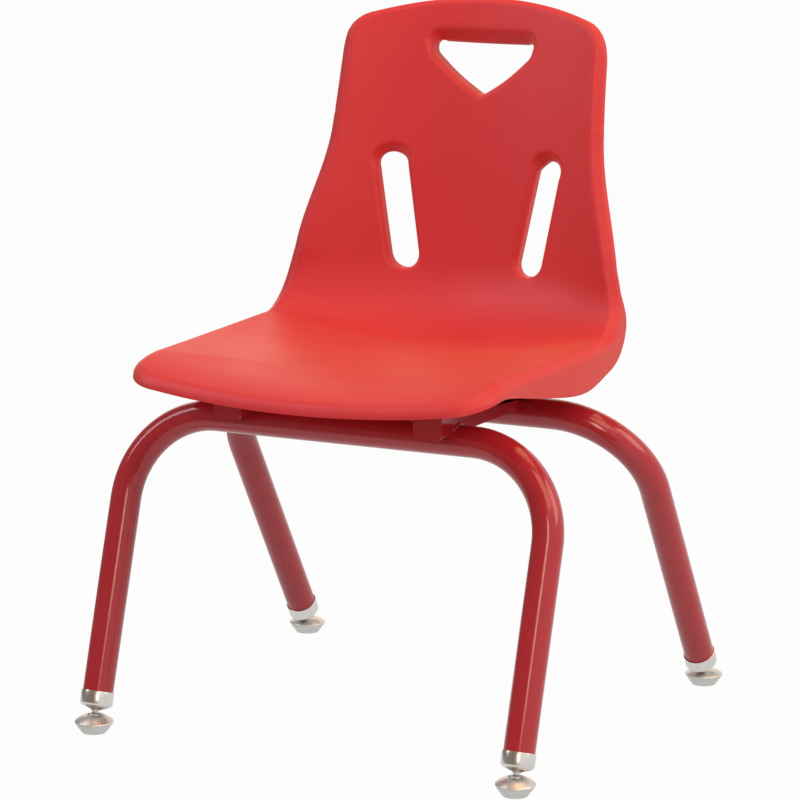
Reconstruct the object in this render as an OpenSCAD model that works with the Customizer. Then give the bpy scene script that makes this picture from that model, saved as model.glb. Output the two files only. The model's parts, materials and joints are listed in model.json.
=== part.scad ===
// Preschool chair: a moulded shell on two bent leg tubes, with four swivel glides.
// The front faces -Y, +Z is up, and the origin is on the floor in the middle of the feet.
// Left and right are as seen from the front.

/* [Seat shell] */
// Height of the seat's flat on the centre line, carried on to the front edge
seat_h = 306.5; // [280:0.5:420]
// Place of the seat's front edge, from the middle of the chair
seat_front_y = -189; // [-194:0.5:-169]
// Angle by which the seat falls towards the back
seat_fall = 1; // [0:0.5:4]
// Length of the seat from the front edge to the bend
seat_run = 232; // [195:1:260]
// Distance of the seat's crease behind the front edge
crease_v = 46; // [34:1:60]
// Drop of the front edge below the flat, from the crease on
front_fall = 4.5; // [2:0.5:7]
// Length over which the crease is rounded
crease_soft = 8; // [4:1:15]
// Radius of the bend from seat to back
seat_bend_r = 72; // [55:1:100]
// Lean of the lower back from upright
lower_lean = 7; // [3:0.5:14]
// Length of the lower back above the bend
lower_run = 70; // [50:1:100]
// Further lean that the upper back gains
upper_lean = 6.5; // [2:0.5:12]
// Length of the upper back
upper_run = 148; // [120:1:190]
// Thickness of the shell
shell_wall = 4.2; // [3:0.1:5]
// Distance of the hips ahead of the bend
hip_gap = 27; // [10:1:60]
// Distance of the waist above the lower back
waist_rise = 34; // [15:1:60]
// Width of the flat at the front edge
front_w = 297; // [260:1:330]
// Width of the flat at the hips
hip_w = 312; // [270:1:340]
// Width of the flat where the bend ends
bend_w = 285; // [250:1:320]
// Width of the flat at the waist
waist_w = 238; // [210:1:280]
// Width of the flat at the top
top_w = 226; // [200:1:270]
// How far the sides rise over the middle at the front edge
front_crown = 8; // [4:0.5:14]
// How far the sides rise over the middle at the back of the seat
seat_crown = 17; // [10:0.5:24]
// How far the sides stand forward of the middle where the bend ends
bend_crown = 36; // [24:1:46]
// How far the sides stand forward of the middle at the waist
waist_crown = 26; // [15:1:34]
// How far the sides stand forward of the middle at the top
top_crown = 23; // [12:1:30]
// Drop of the top edge from the middle to the corners
top_arch = 19; // [4:1:24]
// Setback of the front edge from the middle to the corners
front_bow = 5; // [0:1:12]

/* [Shell rim] */
// Radius of the roll along the front edge
front_roll = 13; // [10:0.5:20]
// Distance from the front edge over which its roll narrows to that of the sides
front_roll_run = 75; // [60:1:110]
// Radius of the roll along the sides of the seat
side_roll = 7.5; // [6:0.5:10]
// Radius of the roll round the back
back_roll = 6; // [5.5:0.5:9]
// Straight flange below the roll at the front
front_flange = 2.5; // [1:0.5:8]
// Straight flange below the roll at the hips
hip_flange = 28; // [12:0.5:34]
// Distance of the deepest flange ahead of the bend
flange_gap = 48; // [20:1:80]
// Straight flange behind the roll in the first half of the bend
bend_flange = 18.5; // [6:0.5:22]
// Distance into the bend at which the hips' flange has narrowed to that
bend_flange_run = 8; // [0:1:30]
// Straight flange behind the roll round the back
back_flange = 3; // [1:0.5:8]
// Distance below the end of the bend at which the flange has narrowed to that of the back
flange_fade = 25; // [5:1:40]
// Angle by which the flange opens outwards
draft = 4; // [2:0.5:8]
// Length of the rounded front corners, along the seat
front_corner = 42; // [30:1:60]
// Width of the rounded front corners, across the seat
front_corner_w = 34; // [20:1:50]
// Radius of the rounded top corners
top_corner = 21; // [18:1:40]

/* [Back openings] */
// Clear width of the slots
slot_w = 25; // [16:0.5:32]
// Distance between the slots' lower end centres
slot_low_gap = 117; // [95:1:125]
// Distance between the slots' upper end centres
slot_high_gap = 144; // [125:1:152]
// Distance between a slot's end centres, along the back
slot_run = 78; // [50:1:95]
// Distance of the slots' lower end centres above the bend
slot_rise = 0; // [-5:1:15]
// Depth of the lip round the slots and the handle
lip_depth = 10; // [7:0.5:14]
// Width of the handle opening
handle_w = 92; // [76:1:110]
// Height of the handle opening
handle_h = 48; // [38:1:60]
// Radius of the handle opening's corners
handle_r = 7; // [5:0.5:10]
// Distance from the top edge down to the handle opening
handle_drop = 32; // [28:1:45]

/* [Leg tubes] */
// Outer diameter of the tubes
tube_od = 25.4; // [22:0.2:30]
// Wall of the tubes
tube_wall = 1.8; // [1.2:0.1:3]
// Bend radius on the tube's centre line
tube_bend_r = 75; // [60:1:85]
// Height of the front crossbar's centre line
front_bar_z = 258.5; // [235:0.5:262]
// Height of the rear crossbar's centre line
rear_bar_z = 257; // [235:0.5:262]
// Place of the front crossbar
front_bar_y = -109.5; // [-125:0.5:-95]
// Place of the rear crossbar
rear_bar_y = 32; // [20:0.5:45]
// Distance between the front feet
front_track = 383; // [350:1:420]
// Distance between the rear feet
rear_track = 390; // [350:1:420]
// Distance from the front feet to the rear feet
wheelbase = 372; // [330:1:420]

/* [Seat rails] */
// Distance between the two rails' middles
rail_gap = 181; // [150:1:200]
// Width of a rail
rail_w = 25.4; // [22:0.2:32]
// Sheet thickness of the rails
rail_t = 2; // [1.5:0.1:3]
// Height of a rail's top over the tubes
rail_rise = 12.3; // [8:0.1:13]
// Depth to which the rail's sides reach down past the top of the tubes
rail_lap = 6.5; // [3:0.5:9]
// Distance of the front tab ahead of the tube
tab_reach = 15; // [5:0.5:20]
// Depth to which the front tab hangs below the top of the tubes
tab_hang = 9; // [4:0.5:14]
// Distance from the rear tube at which the rail's sides end
side_end_gap = 20; // [10:0.5:28]
// Distance that a rail's tongue reaches past the rear tube's middle
tongue_reach = 6.5; // [2:0.5:10]
// Radius of the rails' corners
rail_corner_r = 6; // [3:0.5:8]
// Clearance of welded and pressed joints
weld_gap = 0.05; // [0.02:0.01:0.1]

/* [Seat fasteners] */
// Diameter of the bosses under the shell
boss_d = 16; // [12:0.5:18]
// Diameter of the screws
screw_d = 5; // [4:0.5:6]
// Depth of the screws in the bosses
screw_bite = 14; // [8:0.5:16]
// Diameter of the screw heads
screw_head_d = 9.5; // [8:0.5:11]
// Height of the screw heads
screw_head_h = 3.5; // [2.5:0.1:5]
// Outer diameter of the washers
washer_d = 14; // [11:0.5:16]
// Thickness of the washers
washer_t = 1.2; // [0.8:0.1:2]
// Clearance round the screws
screw_fit = 0.1; // [0.05:0.05:0.4]
// Distance of the front screws behind the front tube's centre line
screw_inset = 34; // [26:1:50]
// Distance of the rear screws ahead of the end of the rails' sides
screw_end_gap = 12; // [9:0.5:30]

/* [Glides] */
// Radius of a glide's base
base_r = 16; // [14:0.5:20]
// Radius of the flat under the sole
sole_r = 10; // [8:0.5:13]
// Height of the base's rim over the floor
rim_z = 8.3; // [8:0.1:9]
// Thickness of the rim
rim_t = 1.2; // [0.8:0.1:1.6]
// Radius of the stud's ball
ball_r = 5.5; // [5.3:0.1:5.8]
// Height of the ball's centre over the floor
ball_z = 11.5; // [11.2:0.1:13]
// Width of the stud's collar round the neck
collar_w = 1.1; // [0.8:0.1:1.4]
// Height of the stud's collar
collar_h = 1; // [0.6:0.1:1.2]
// Width of the stud's riveted head round the neck
rivet_w = 1.8; // [1.2:0.1:2.2]
// Height of the stud's riveted head
rivet_h = 1.2; // [0.8:0.1:1.6]
// Radius of the stud's neck
neck_r = 2.4; // [1.8:0.1:2.6]
// Running clearance of the ball joint
ball_fit = 0.05; // [0.02:0.01:0.1]
// Thickness of the liner under the ball
liner_t = 1; // [0.7:0.1:1.1]
// Wall of the sole's hub round the liner
hub_t = 1.6; // [1.2:0.1:2]
// Height of the dome's lip over the ball's centre
lip_h = 1.6; // [1.4:0.1:2]
// Sheet thickness of the dome
dome_t = 1.1; // [0.8:0.1:1.3]
// Distance from the ball's centre to the ferrule
ferrule_reach = 7.2; // [6.8:0.1:10]
// Depth of the ferrule's coned end
ferrule_cone = 4.6; // [4:0.1:7]
// Length of the ferrule's straight wall
ferrule_wall = 11; // [8:0.5:16]
// Width and height of the shoulder between the ferrule's cone and its wall
shoulder = 1.8; // [1:0.1:2.2]
// Sheet thickness of the ferrule
ferrule_t = 0.8; // [0.6:0.1:1.2]

/* [Hidden] */

$fn = 64;
// Overrun of a cut past the face that it goes through
cut = 1;
// Bevel on the small edges of the glides, and the room between their inner pieces
bevel = 0.4;

// Colours of the moulding, the powder coat and the metals
shell_red = [0.86, 0.16, 0.17];
coat_red = [0.55, 0.05, 0.09];
nickel = [0.75, 0.72, 0.67];
zinc = [0.80, 0.80, 0.82];
nylon = [0.92, 0.90, 0.84];

// The side profile of the shell: four runs, each with its length and its turn
bend_turn = 90 - lower_lean + seat_fall;
bend_run = seat_bend_r * bend_turn * PI / 180;
runs = [[seat_run, 0], [bend_run, bend_turn], [lower_run, 0], [upper_run, -upper_lean]];
bend_end = seat_run + bend_run;
waist_v = bend_end + lower_run + waist_rise;
top_v = bend_end + lower_run + upper_run;

// A point and heading [y, z, heading] moved by a distance along an arc or a line
function travel(s, run, d) =
    let(rate = run[1] / run[0], h = s[2] + rate * d)
    rate == 0
        ? [s[0] + d * cos(h), s[1] + d * sin(h), h]
        : let(r = 180 / PI / rate)
          [s[0] + r * (sin(h) - sin(s[2])), s[1] - r * (cos(h) - cos(s[2])), h];
start_0 = [seat_front_y, seat_h, -seat_fall];
start_1 = travel(start_0, runs[0], runs[0][0]);
start_2 = travel(start_1, runs[1], runs[1][0]);
start_3 = travel(start_2, runs[2], runs[2][0]);
// Profile point and heading at distance v from the front edge
function profile(v) =
    v < seat_run ? travel(start_0, runs[0], v)
    : v < bend_end ? travel(start_1, runs[1], v - seat_run)
    : v < bend_end + lower_run ? travel(start_2, runs[2], v - bend_end)
    : travel(start_3, runs[3], v - bend_end - lower_run);

// Smooth curve through stations [v, value], without overshoot
function grade(k, i) = (k[i + 1][1] - k[i][1]) / (k[i + 1][0] - k[i][0]);
function tangent(k, i) =
    i == 0 ? grade(k, 0)
    : i == len(k) - 1 ? grade(k, i - 1)
    : let(a = grade(k, i - 1), b = grade(k, i)) a * b <= 0 ? 0 : 2 * a * b / (a + b);
function span(k, v, i = 0) = i >= len(k) - 2 || v < k[i + 1][0] ? i : span(k, v, i + 1);
function blend(k, v) =
    let(
        w = min(max(v, k[0][0]), k[len(k) - 1][0]),
        i = span(k, w),
        d = k[i + 1][0] - k[i][0],
        t = (w - k[i][0]) / d,
        s = t * t * (3 - 2 * t)
    )
    k[i][1] + (k[i + 1][1] - k[i][1]) * s
        + d * t * (1 - t) * (tangent(k, i) * (1 - t) - tangent(k, i + 1) * t);

// Stations of the half width, the crown, the roll radius and the flange
hip_v = seat_run - hip_gap;
half_at = [[0, front_w / 2], [hip_v, hip_w / 2], [bend_end, bend_w / 2], [waist_v, waist_w / 2],
           [top_v, top_w / 2]];
crown_at = [[0, front_crown], [seat_run, seat_crown], [bend_end, bend_crown], [waist_v, waist_crown],
            [top_v, top_crown]];
roll_at = [[0, front_roll], [front_roll_run, side_roll], [bend_end, back_roll], [top_v, back_roll]];
middle_v = seat_run + bend_run / 2;
flange_at = [[0, front_flange], [front_corner, front_flange], [seat_run - flange_gap, hip_flange],
             [seat_run + bend_flange_run, bend_flange], [middle_v, bend_flange],
             [bend_end - flange_fade, back_flange], [top_v, back_flange]];
function half(v) = blend(half_at, v);

// Drop of the skin towards the front edge: a hyperbola that bends at the crease
function fall_shape(d) = norm([d, crease_soft]) + d;
function fall_at(v) = front_fall * fall_shape(crease_v - v) / fall_shape(crease_v);

// A point of the shell's upper skin, at u across and v along
function skin(u, v) =
    let(p = profile(v), n = blend(crown_at, v) * pow(u / half(v), 2) - fall_at(v))
    [u, p[0] - n * sin(p[2]), p[1] + n * cos(p[2])];
function unit(a) = a / norm(a);
nudge = 0.5;
function across(u, v) = unit(skin(u + nudge, v) - skin(u - nudge, v));
function along(u, v) = unit(skin(u, v + nudge) - skin(u, v - nudge));
function normal(u, v) = unit(cross(across(u, v), along(u, v)));

// Slope of the top edge where it runs into the corner's arc, found in a few rounds
top_side = half(top_v - top_arch - top_corner);
function arch_slope(rounds, a = 0) =
    rounds == 0 ? a : arch_slope(rounds - 1, atan2(2 * top_arch, top_side - top_corner * (1 - sin(a))));
top_slope = arch_slope(4);

// Half outline of the flat, from the middle of the front to the middle of the top
front_half = half(front_corner) - front_corner_w;
top_start = top_v - top_arch - top_corner * cos(top_slope);
top_centre = half(top_start) - top_corner;
top_half = top_centre + top_corner * sin(top_slope);
edge_steps = 7;
side_steps = 22;
half_outline = concat(
    [for (i = [0 : edge_steps - 1])
        let(t = i / edge_steps) [front_half * t, front_bow * t * t]],
    [for (i = [0 : edge_steps - 1])
        let(a = 90 * i / edge_steps)
        [front_half + front_corner_w * sin(a), front_bow + (front_corner - front_bow) * (1 - cos(a))]],
    [for (i = [0 : side_steps - 1])
        let(v = front_corner + (top_start - front_corner) * i / side_steps) [half(v), v]],
    [for (i = [0 : edge_steps - 1])
        let(a = (90 - top_slope) * i / edge_steps)
        [top_centre + top_corner * cos(a), top_start + top_corner * sin(a)]],
    [for (i = [0 : edge_steps])
        let(t = 1 - i / edge_steps) [top_half * t, top_v - top_arch * t * t]]
);
half_count = len(half_outline);
outline = concat(
    half_outline,
    [for (i = [half_count - 2 : -1 : 1]) [-half_outline[i][0], half_outline[i][1]]]
);
count = len(outline);

// Frame of the rim at outline point i: place, outward, turning direction, turn, flange direction
function rim_frame(i) =
    let(
        o = outline[i],
        t = outline[(i + 1) % count] - outline[(i + count - 1) % count],
        out = unit(across(o[0], o[1]) * t[1] - along(o[0], o[1]) * t[0]),
        h = profile(o[1])[2],
        away = [0, sin(h), -cos(h)],
        flat = unit(out - away * (out * away)),
        down = away * cos(draft) + flat * sin(draft),
        turn = acos(out * down)
    )
    [skin(o[0], o[1]), out, unit(down - out * (out * down)), turn, down];
frames = [for (i = [0 : count - 1]) rim_frame(i)];
// A point on the roll of the rim: share t of its turn, at depth d under the skin
function roll_point(i, t, d) =
    let(f = frames[i], r = blend(roll_at, outline[i][1]) - d, a = f[3] * t)
    f[0] + f[2] * d + r * (f[1] * sin(a) + f[2] * (1 - cos(a)));

// Rings of the closed shell: the upper skin outwards, the rim, then the underside inwards
flat_steps = 12;
roll_steps = 5;
function flat_ring(share, d) =
    [for (o = outline)
        let(u = o[0] * share, v = middle_v + (o[1] - middle_v) * share)
        skin(u, v) - d * normal(u, v)];
function roll_ring(t, d) = [for (i = [0 : count - 1]) roll_point(i, t, d)];
function tip_ring(d) =
    [for (i = [0 : count - 1]) roll_point(i, 1, d) + frames[i][4] * blend(flange_at, outline[i][1])];
rings = concat(
    [for (k = [1 : flat_steps - 1]) flat_ring(k / flat_steps, 0)],
    [for (k = [0 : roll_steps]) roll_ring(k / roll_steps, 0)],
    [tip_ring(0), tip_ring(shell_wall)],
    [for (k = [roll_steps : -1 : 0]) roll_ring(k / roll_steps, shell_wall)],
    [for (k = [flat_steps - 1 : -1 : 1]) flat_ring(k / flat_steps, shell_wall)]
);
ring_count = len(rings);
first_pole = ring_count * count;
last_ring = (ring_count - 1) * count;
shell_points = concat(
    [for (r = rings) each r],
    [skin(0, middle_v), skin(0, middle_v) - shell_wall * normal(0, middle_v)]
);
shell_faces = concat(
    [for (i = [0 : count - 1]) [first_pole, (i + 1) % count, i]],
    [for (r = [0 : ring_count - 2]) for (i = [0 : count - 1])
        let(a = r * count + i, b = r * count + (i + 1) % count)
        each [[a, b, b + count], [a, b + count, a + count]]],
    [for (i = [0 : count - 1]) [first_pole + 1, last_ring + i, last_ring + (i + 1) % count]]
);

// Places the children on the back: origin at the skin, +Z to the sitter, +Y up the line from a to b
module on_back(a, b) {
    low = skin(a[0], a[1]);
    high = skin(b[0], b[1]);
    up = unit(high - low);
    facing = normal((a[0] + b[0]) / 2, (a[1] + b[1]) / 2);
    side = unit(cross(up, facing));
    front = cross(side, up);
    mid = (low + high) / 2;
    multmatrix([
        [side[0], up[0], front[0], mid[0]],
        [side[1], up[1], front[1], mid[1]],
        [side[2], up[2], front[2], mid[2]]
    ]) children();
}
// Facets round an opening's ends
opening_fn = 32;
slot_low_v = bend_end + slot_rise;
slot_high_v = slot_low_v + slot_run;
module slot_outline(grow) {
    for (end = [-1, 1]) translate([0, end * slot_run / 2]) circle(d = slot_w + 2 * grow, $fn = opening_fn);
    square([slot_w + 2 * grow, slot_run], center = true);
}
module at_slots() {
    for (side = [-1, 1])
        on_back([side * slot_low_gap / 2, slot_low_v], [side * slot_high_gap / 2, slot_high_v]) children();
}
handle_top_v = top_v - handle_drop;
module handle_outline(grow) {
    hull() {
        for (side = [-1, 1])
            translate([side * (handle_w / 2 - handle_r), handle_h / 2 - handle_r])
                circle(handle_r + grow, $fn = opening_fn);
        translate([0, handle_r - handle_h / 2]) circle(handle_r + grow, $fn = opening_fn);
    }
}
module at_handle() {
    on_back([0, handle_top_v - handle_h], [0, handle_top_v]) children();
}
// The lip round an opening starts inside the wall, stands out behind it and follows the back's
// curve across; curl is that curve's rise per square of the distance from the middle
lip_start = shell_wall / 3;
lip_steps = 5;
module lip_band(reach, curl) {
    across_points = [for (k = [-lip_steps : lip_steps]) reach * k / lip_steps];
    intersection() {
        through_back() children();
        rotate([90, 0, 0]) linear_extrude(2 * reach, center = true) polygon(concat(
            [for (u = across_points) [u, curl * u * u - lip_start]],
            [for (u = across_points) [-u, curl * u * u - lip_depth]]
        ));
    }
}
module through_back() {
    linear_extrude(2 * (lip_depth + bend_crown), center = true) children();
}
function back_curl(v) = blend(crown_at, v) / pow(half(v), 2);

// Heights of the rails and the seat screws' places
tube_r = tube_od / 2;
tube_top = front_bar_z + tube_r;
rear_tube_top = rear_bar_z + tube_r;
rail_top = tube_top + rail_rise;
rail_under = rail_top - rail_t;
side_end = rear_bar_y - tube_r - side_end_gap;
screw_ys = [front_bar_y + screw_inset, side_end - screw_end_gap];
screw_places = [for (x = [-rail_gap / 2, rail_gap / 2]) for (y = screw_ys) [x, y]];
function seat_skin(x, y) = skin(x, (y - seat_front_y) / cos(seat_fall));
module at_screws(z) {
    for (p = screw_places) translate([p[0], p[1], z]) children();
}

module seat_shell() {
    color(shell_red) difference() {
        union() {
            polyhedron(shell_points, shell_faces, convexity = 10);
            at_slots() lip_band(slot_run, back_curl(slot_low_v)) slot_outline(shell_wall);
            at_handle() lip_band(handle_w, back_curl(handle_top_v)) handle_outline(shell_wall);
            for (p = screw_places)
                translate([p[0], p[1], rail_top])
                    cylinder(d = boss_d, h = seat_skin(p[0], p[1])[2] - shell_wall / 2 - rail_top);
        }
        at_slots() through_back() slot_outline(0);
        at_handle() through_back() handle_outline(0);
        at_screws(rail_top - cut) cylinder(d = screw_d + 2 * screw_fit, h = screw_bite + screw_fit + cut);
    }
}

// Leg frames: a plane through the crossbar and the two balls, with the legs square to the bar
front_foot_y = -wheelbase / 2;
rear_foot_y = wheelbase / 2;
function leg_lean(bar, foot_y) = atan2(bar[0] - foot_y, bar[1] - ball_z);
function leg_drop(bar, foot_y) = norm([bar[0] - foot_y, bar[1] - ball_z]);
front_bar = [front_bar_y, front_bar_z];
rear_bar = [rear_bar_y, rear_bar_z];
front_lean = leg_lean(front_bar, front_foot_y);
rear_lean = leg_lean(rear_bar, rear_foot_y);
front_drop = leg_drop(front_bar, front_foot_y);
rear_drop = leg_drop(rear_bar, rear_foot_y);
tube_end = ferrule_reach + ferrule_cone;

// A rod bent to the leg's shape in its own plane: crossbar along X, legs towards -Z
module bent_rod(d, track, leg_run) {
    bar_half = track / 2 - tube_bend_r;
    rotate([0, 90, 0]) cylinder(d = d, h = 2 * bar_half, center = true);
    for (side = [0, 1]) mirror([side, 0, 0]) translate([bar_half, 0, -tube_bend_r]) {
        rotate([90, 0, 0]) rotate_extrude(angle = 90) translate([tube_bend_r, 0]) circle(d = d);
        translate([tube_bend_r, 0, 0]) rotate([180, 0, 0]) cylinder(d = d, h = leg_run);
    }
}
module leg_tube(track, drop) {
    leg_run = drop - tube_bend_r - tube_end;
    color(coat_red) difference() {
        bent_rod(tube_od, track, leg_run);
        bent_rod(tube_od - 2 * tube_wall, track, leg_run + cut);
    }
}
module front_leg_tube() {
    translate([0, front_bar_y, front_bar_z]) rotate([-front_lean, 0, 0]) leg_tube(front_track, front_drop);
}
module rear_leg_tube() {
    translate([0, rear_bar_y, rear_bar_z]) rotate([-rear_lean, 0, 0]) leg_tube(rear_track, rear_drop);
}

// A seat rail: a channel open below, with a tab in front and a tongue down onto the rear tube
tab_y = front_bar_y - tube_r - tab_reach;
tab_bottom = tube_top - tab_hang;
side_bottom = tube_top - rail_lap;
tongue_end = rear_bar_y + tongue_reach;
tongue_start = rear_bar_y - tube_r;
rail_corner_z = side_bottom + rail_corner_r;
module rail_side() {
    side_l = side_end - tab_y;
    difference() {
        union() {
            translate([tab_y, rail_corner_z]) square([side_l, rail_under - rail_corner_z]);
            translate([tab_y, side_bottom]) square([side_l - rail_corner_r, rail_corner_r]);
            translate([side_end - rail_corner_r, rail_corner_z]) circle(rail_corner_r);
        }
        translate([front_bar_y, front_bar_z]) circle(tube_r + weld_gap);
    }
}
module rail_tab() {
    corner_x = rail_w / 2 - rail_corner_r;
    corner_z = tab_bottom + rail_corner_r;
    translate([-rail_w / 2, corner_z]) square([rail_w, rail_top - corner_z]);
    translate([-corner_x, tab_bottom]) square([2 * corner_x, rail_corner_r]);
    for (side = [-1, 1]) translate([side * corner_x, corner_z]) circle(rail_corner_r);
}
module rail_tongue() {
    seat = rear_tube_top + weld_gap;
    polygon([
        [tab_y, rail_under], [side_end, rail_under], [tongue_start, seat], [tongue_end, seat],
        [tongue_end, seat + rail_t], [tongue_start, seat + rail_t], [side_end, rail_top], [tab_y, rail_top]
    ]);
}
module seat_rail(x) {
    color(coat_red) translate([x, 0, 0]) difference() {
        union() {
            rotate([90, 0, 90]) linear_extrude(rail_w, center = true) rail_tongue();
            for (side = [-1, 1])
                translate([side * (rail_w - rail_t) / 2, 0, 0])
                    rotate([90, 0, 90]) linear_extrude(rail_t, center = true) rail_side();
            translate([0, tab_y, 0]) rotate([90, 0, 0]) linear_extrude(rail_t) rail_tab();
        }
        for (y = screw_ys)
            translate([0, y, rail_under - cut]) cylinder(d = screw_d + 2 * screw_fit, h = rail_t + 2 * cut);
    }
}
module left_seat_rail() {
    seat_rail(-rail_gap / 2);
}
module right_seat_rail() {
    seat_rail(rail_gap / 2);
}

module seat_screws() {
    color(zinc) at_screws(rail_under - washer_t) {
        translate([0, 0, -screw_head_h]) cylinder(d = screw_head_d, h = screw_head_h);
        cylinder(d = screw_d, h = washer_t + rail_t + screw_bite);
    }
}
module screw_washers() {
    color(zinc) at_screws(rail_under - washer_t) difference() {
        cylinder(d = washer_d, h = washer_t);
        translate([0, 0, -cut]) cylinder(d = screw_d + 2 * screw_fit, h = washer_t + 2 * cut);
    }
}

// The four feet: the ball's place from above and the leg's lean
front_left = [-front_track / 2, front_foot_y, front_lean];
front_right = [front_track / 2, front_foot_y, front_lean];
rear_left = [-rear_track / 2, rear_foot_y, rear_lean];
rear_right = [rear_track / 2, rear_foot_y, rear_lean];
// Origin at the ball's centre, +Z up the leg
module on_leg(f) {
    translate([f[0], f[1], ball_z]) rotate([-f[2], 0, 0]) children();
}
// Origin on the floor under the ball, +Z up
module on_floor(f) {
    translate([f[0], f[1], 0]) children();
}

// A cup pressed over the tube's end, coned down to the stud
ferrule_bore = tube_r + weld_gap;
ferrule_r = ferrule_bore + ferrule_t;
collar_r = neck_r + collar_w;
rivet_r = neck_r + rivet_w;
rivet_z = ferrule_reach + ferrule_t;
module ferrule(f) {
    hole = neck_r + weld_gap;
    ledge = ferrule_bore - tube_wall - bevel;
    color(nickel) on_leg(f) rotate_extrude() polygon([
        [hole, ferrule_reach], [collar_r + bevel, ferrule_reach], [ferrule_r - shoulder, tube_end - shoulder],
        [ferrule_r, tube_end], [ferrule_r, tube_end + ferrule_wall],
        [ferrule_bore, tube_end + ferrule_wall], [ferrule_bore, tube_end],
        [ledge, tube_end], [rivet_r + bevel, rivet_z], [hole, rivet_z]
    ]);
}
// A stud with a ball below and a riveted head inside the ferrule
module stud(f) {
    color(nickel) on_leg(f) {
        sphere(ball_r);
        cylinder(r = neck_r, h = rivet_z + rivet_h);
        translate([0, 0, ferrule_reach - collar_h]) cylinder(r = collar_r, h = collar_h);
        translate([0, 0, rivet_z]) cylinder(r = rivet_r, h = rivet_h);
    }
}

// The base: a liner cup under the ball, a sole round the liner and a dome over both
seat_r = ball_r + ball_fit;
liner_r = seat_r + liner_t;
socket_r = liner_r + ball_fit;
liner_top = ball_z - bevel;
module liner(f) {
    color(nylon) on_floor(f) difference() {
        translate([0, 0, ball_z]) sphere(liner_r);
        translate([0, 0, ball_z]) sphere(seat_r);
        translate([0, 0, liner_top + liner_r]) cube(2 * liner_r, center = true);
    }
}
hub_r = socket_r + hub_t;
module sole(f) {
    skirt_r = base_r - 2 * bevel;
    hub_top = ball_z - bevel / 2;
    color(zinc) on_floor(f) difference() {
        rotate_extrude() polygon([
            [0, 0], [sole_r - bevel, 0], [sole_r, bevel], [skirt_r, rim_z - 2 * bevel], [skirt_r, rim_z],
            [hub_r, rim_z], [hub_r - bevel, hub_top], [0, hub_top]
        ]);
        translate([0, 0, ball_z]) sphere(socket_r);
    }
}
module dome(f) {
    lip_z = ball_z + lip_h;
    crown_r = socket_r + bevel;
    inner_r = hub_r + bevel;
    step_z = lip_h - dome_t + bevel;
    color(nickel) on_floor(f) difference() {
        rotate_extrude() polygon([
            [inner_r, rim_z], [base_r - bevel, rim_z], [base_r, rim_z + bevel], [base_r, rim_z + rim_t],
            [crown_r, lip_z], [0, lip_z], [0, lip_z - dome_t], [crown_r, lip_z - dome_t],
            [inner_r, ball_z - 2 * bevel]
        ]);
        translate([0, 0, ball_z]) sphere(seat_r);
        translate([0, 0, ball_z]) intersection() {
            sphere(socket_r);
            translate([0, 0, step_z - socket_r]) cube(2 * socket_r, center = true);
        }
    }
}

seat_shell();
front_leg_tube();
rear_leg_tube();
left_seat_rail();
right_seat_rail();
seat_screws();
screw_washers();
ferrule(front_left);  // front_left_ferrule
stud(front_left);  // front_left_stud
liner(front_left);  // front_left_liner
dome(front_left);  // front_left_dome
sole(front_left);  // front_left_sole
ferrule(front_right);  // front_right_ferrule
stud(front_right);  // front_right_stud
liner(front_right);  // front_right_liner
dome(front_right);  // front_right_dome
sole(front_right);  // front_right_sole
ferrule(rear_left);  // rear_left_ferrule
stud(rear_left);  // rear_left_stud
liner(rear_left);  // rear_left_liner
dome(rear_left);  // rear_left_dome
sole(rear_left);  // rear_left_sole
ferrule(rear_right);  // rear_right_ferrule
stud(rear_right);  // rear_right_stud
liner(rear_right);  // rear_right_liner
dome(rear_right);  // rear_right_dome
sole(rear_right);  // rear_right_sole
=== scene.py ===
"""Looks of a preschool chair: a moulded shell on two bent leg tubes, with four swivel glides.

The file is laid out as an add-on and is run as a script. Lengths are in metres, the front faces -Y,
+Z is up, and left and right are as seen from the front.
"""

import json
import math

import bmesh
import bpy
from mathutils import Matrix, Vector


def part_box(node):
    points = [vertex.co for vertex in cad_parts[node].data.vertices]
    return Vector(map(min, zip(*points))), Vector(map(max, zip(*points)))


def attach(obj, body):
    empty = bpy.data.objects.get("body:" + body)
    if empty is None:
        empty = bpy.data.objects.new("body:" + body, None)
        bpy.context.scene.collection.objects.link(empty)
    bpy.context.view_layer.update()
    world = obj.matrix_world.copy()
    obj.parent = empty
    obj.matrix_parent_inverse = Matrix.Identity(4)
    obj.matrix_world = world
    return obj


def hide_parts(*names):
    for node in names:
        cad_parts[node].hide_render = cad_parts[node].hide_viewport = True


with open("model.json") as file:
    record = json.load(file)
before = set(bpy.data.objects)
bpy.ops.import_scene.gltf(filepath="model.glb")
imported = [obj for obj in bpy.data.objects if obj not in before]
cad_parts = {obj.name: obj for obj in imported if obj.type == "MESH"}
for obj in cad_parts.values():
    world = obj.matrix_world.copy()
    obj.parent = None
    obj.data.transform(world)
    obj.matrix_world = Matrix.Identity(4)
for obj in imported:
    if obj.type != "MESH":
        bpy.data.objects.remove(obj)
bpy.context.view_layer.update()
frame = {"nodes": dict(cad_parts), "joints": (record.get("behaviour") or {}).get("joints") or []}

bl_info = {
    "name": "Preschool chair",
    "version": (1, 0, 0),
    "blender": (4, 5, 0),
    "location": "3D View > Sidebar > Chair",
    "description": "Builds a moulded shell chair with bent tube legs and swivel glides",
    "category": "Add Mesh",
}

FEET = ("front_left", "front_right", "rear_left", "rear_right")
MM_PER_M = 1000.0
# The photograph's width and height in pixels, and the width of the camera's sensor in millimetres
PHOTO_PIXELS = 800
SENSOR_MM = 36.0


# Properties

def linear(code):
    """An sRGB hex colour as linear red, green and blue."""
    channels = [int(code[i:i + 2], 16) / 255 for i in (1, 3, 5)]
    return tuple(c / 12.92 if c <= 0.04045 else ((c + 0.055) / 1.055) ** 2.4 for c in channels)


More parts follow.
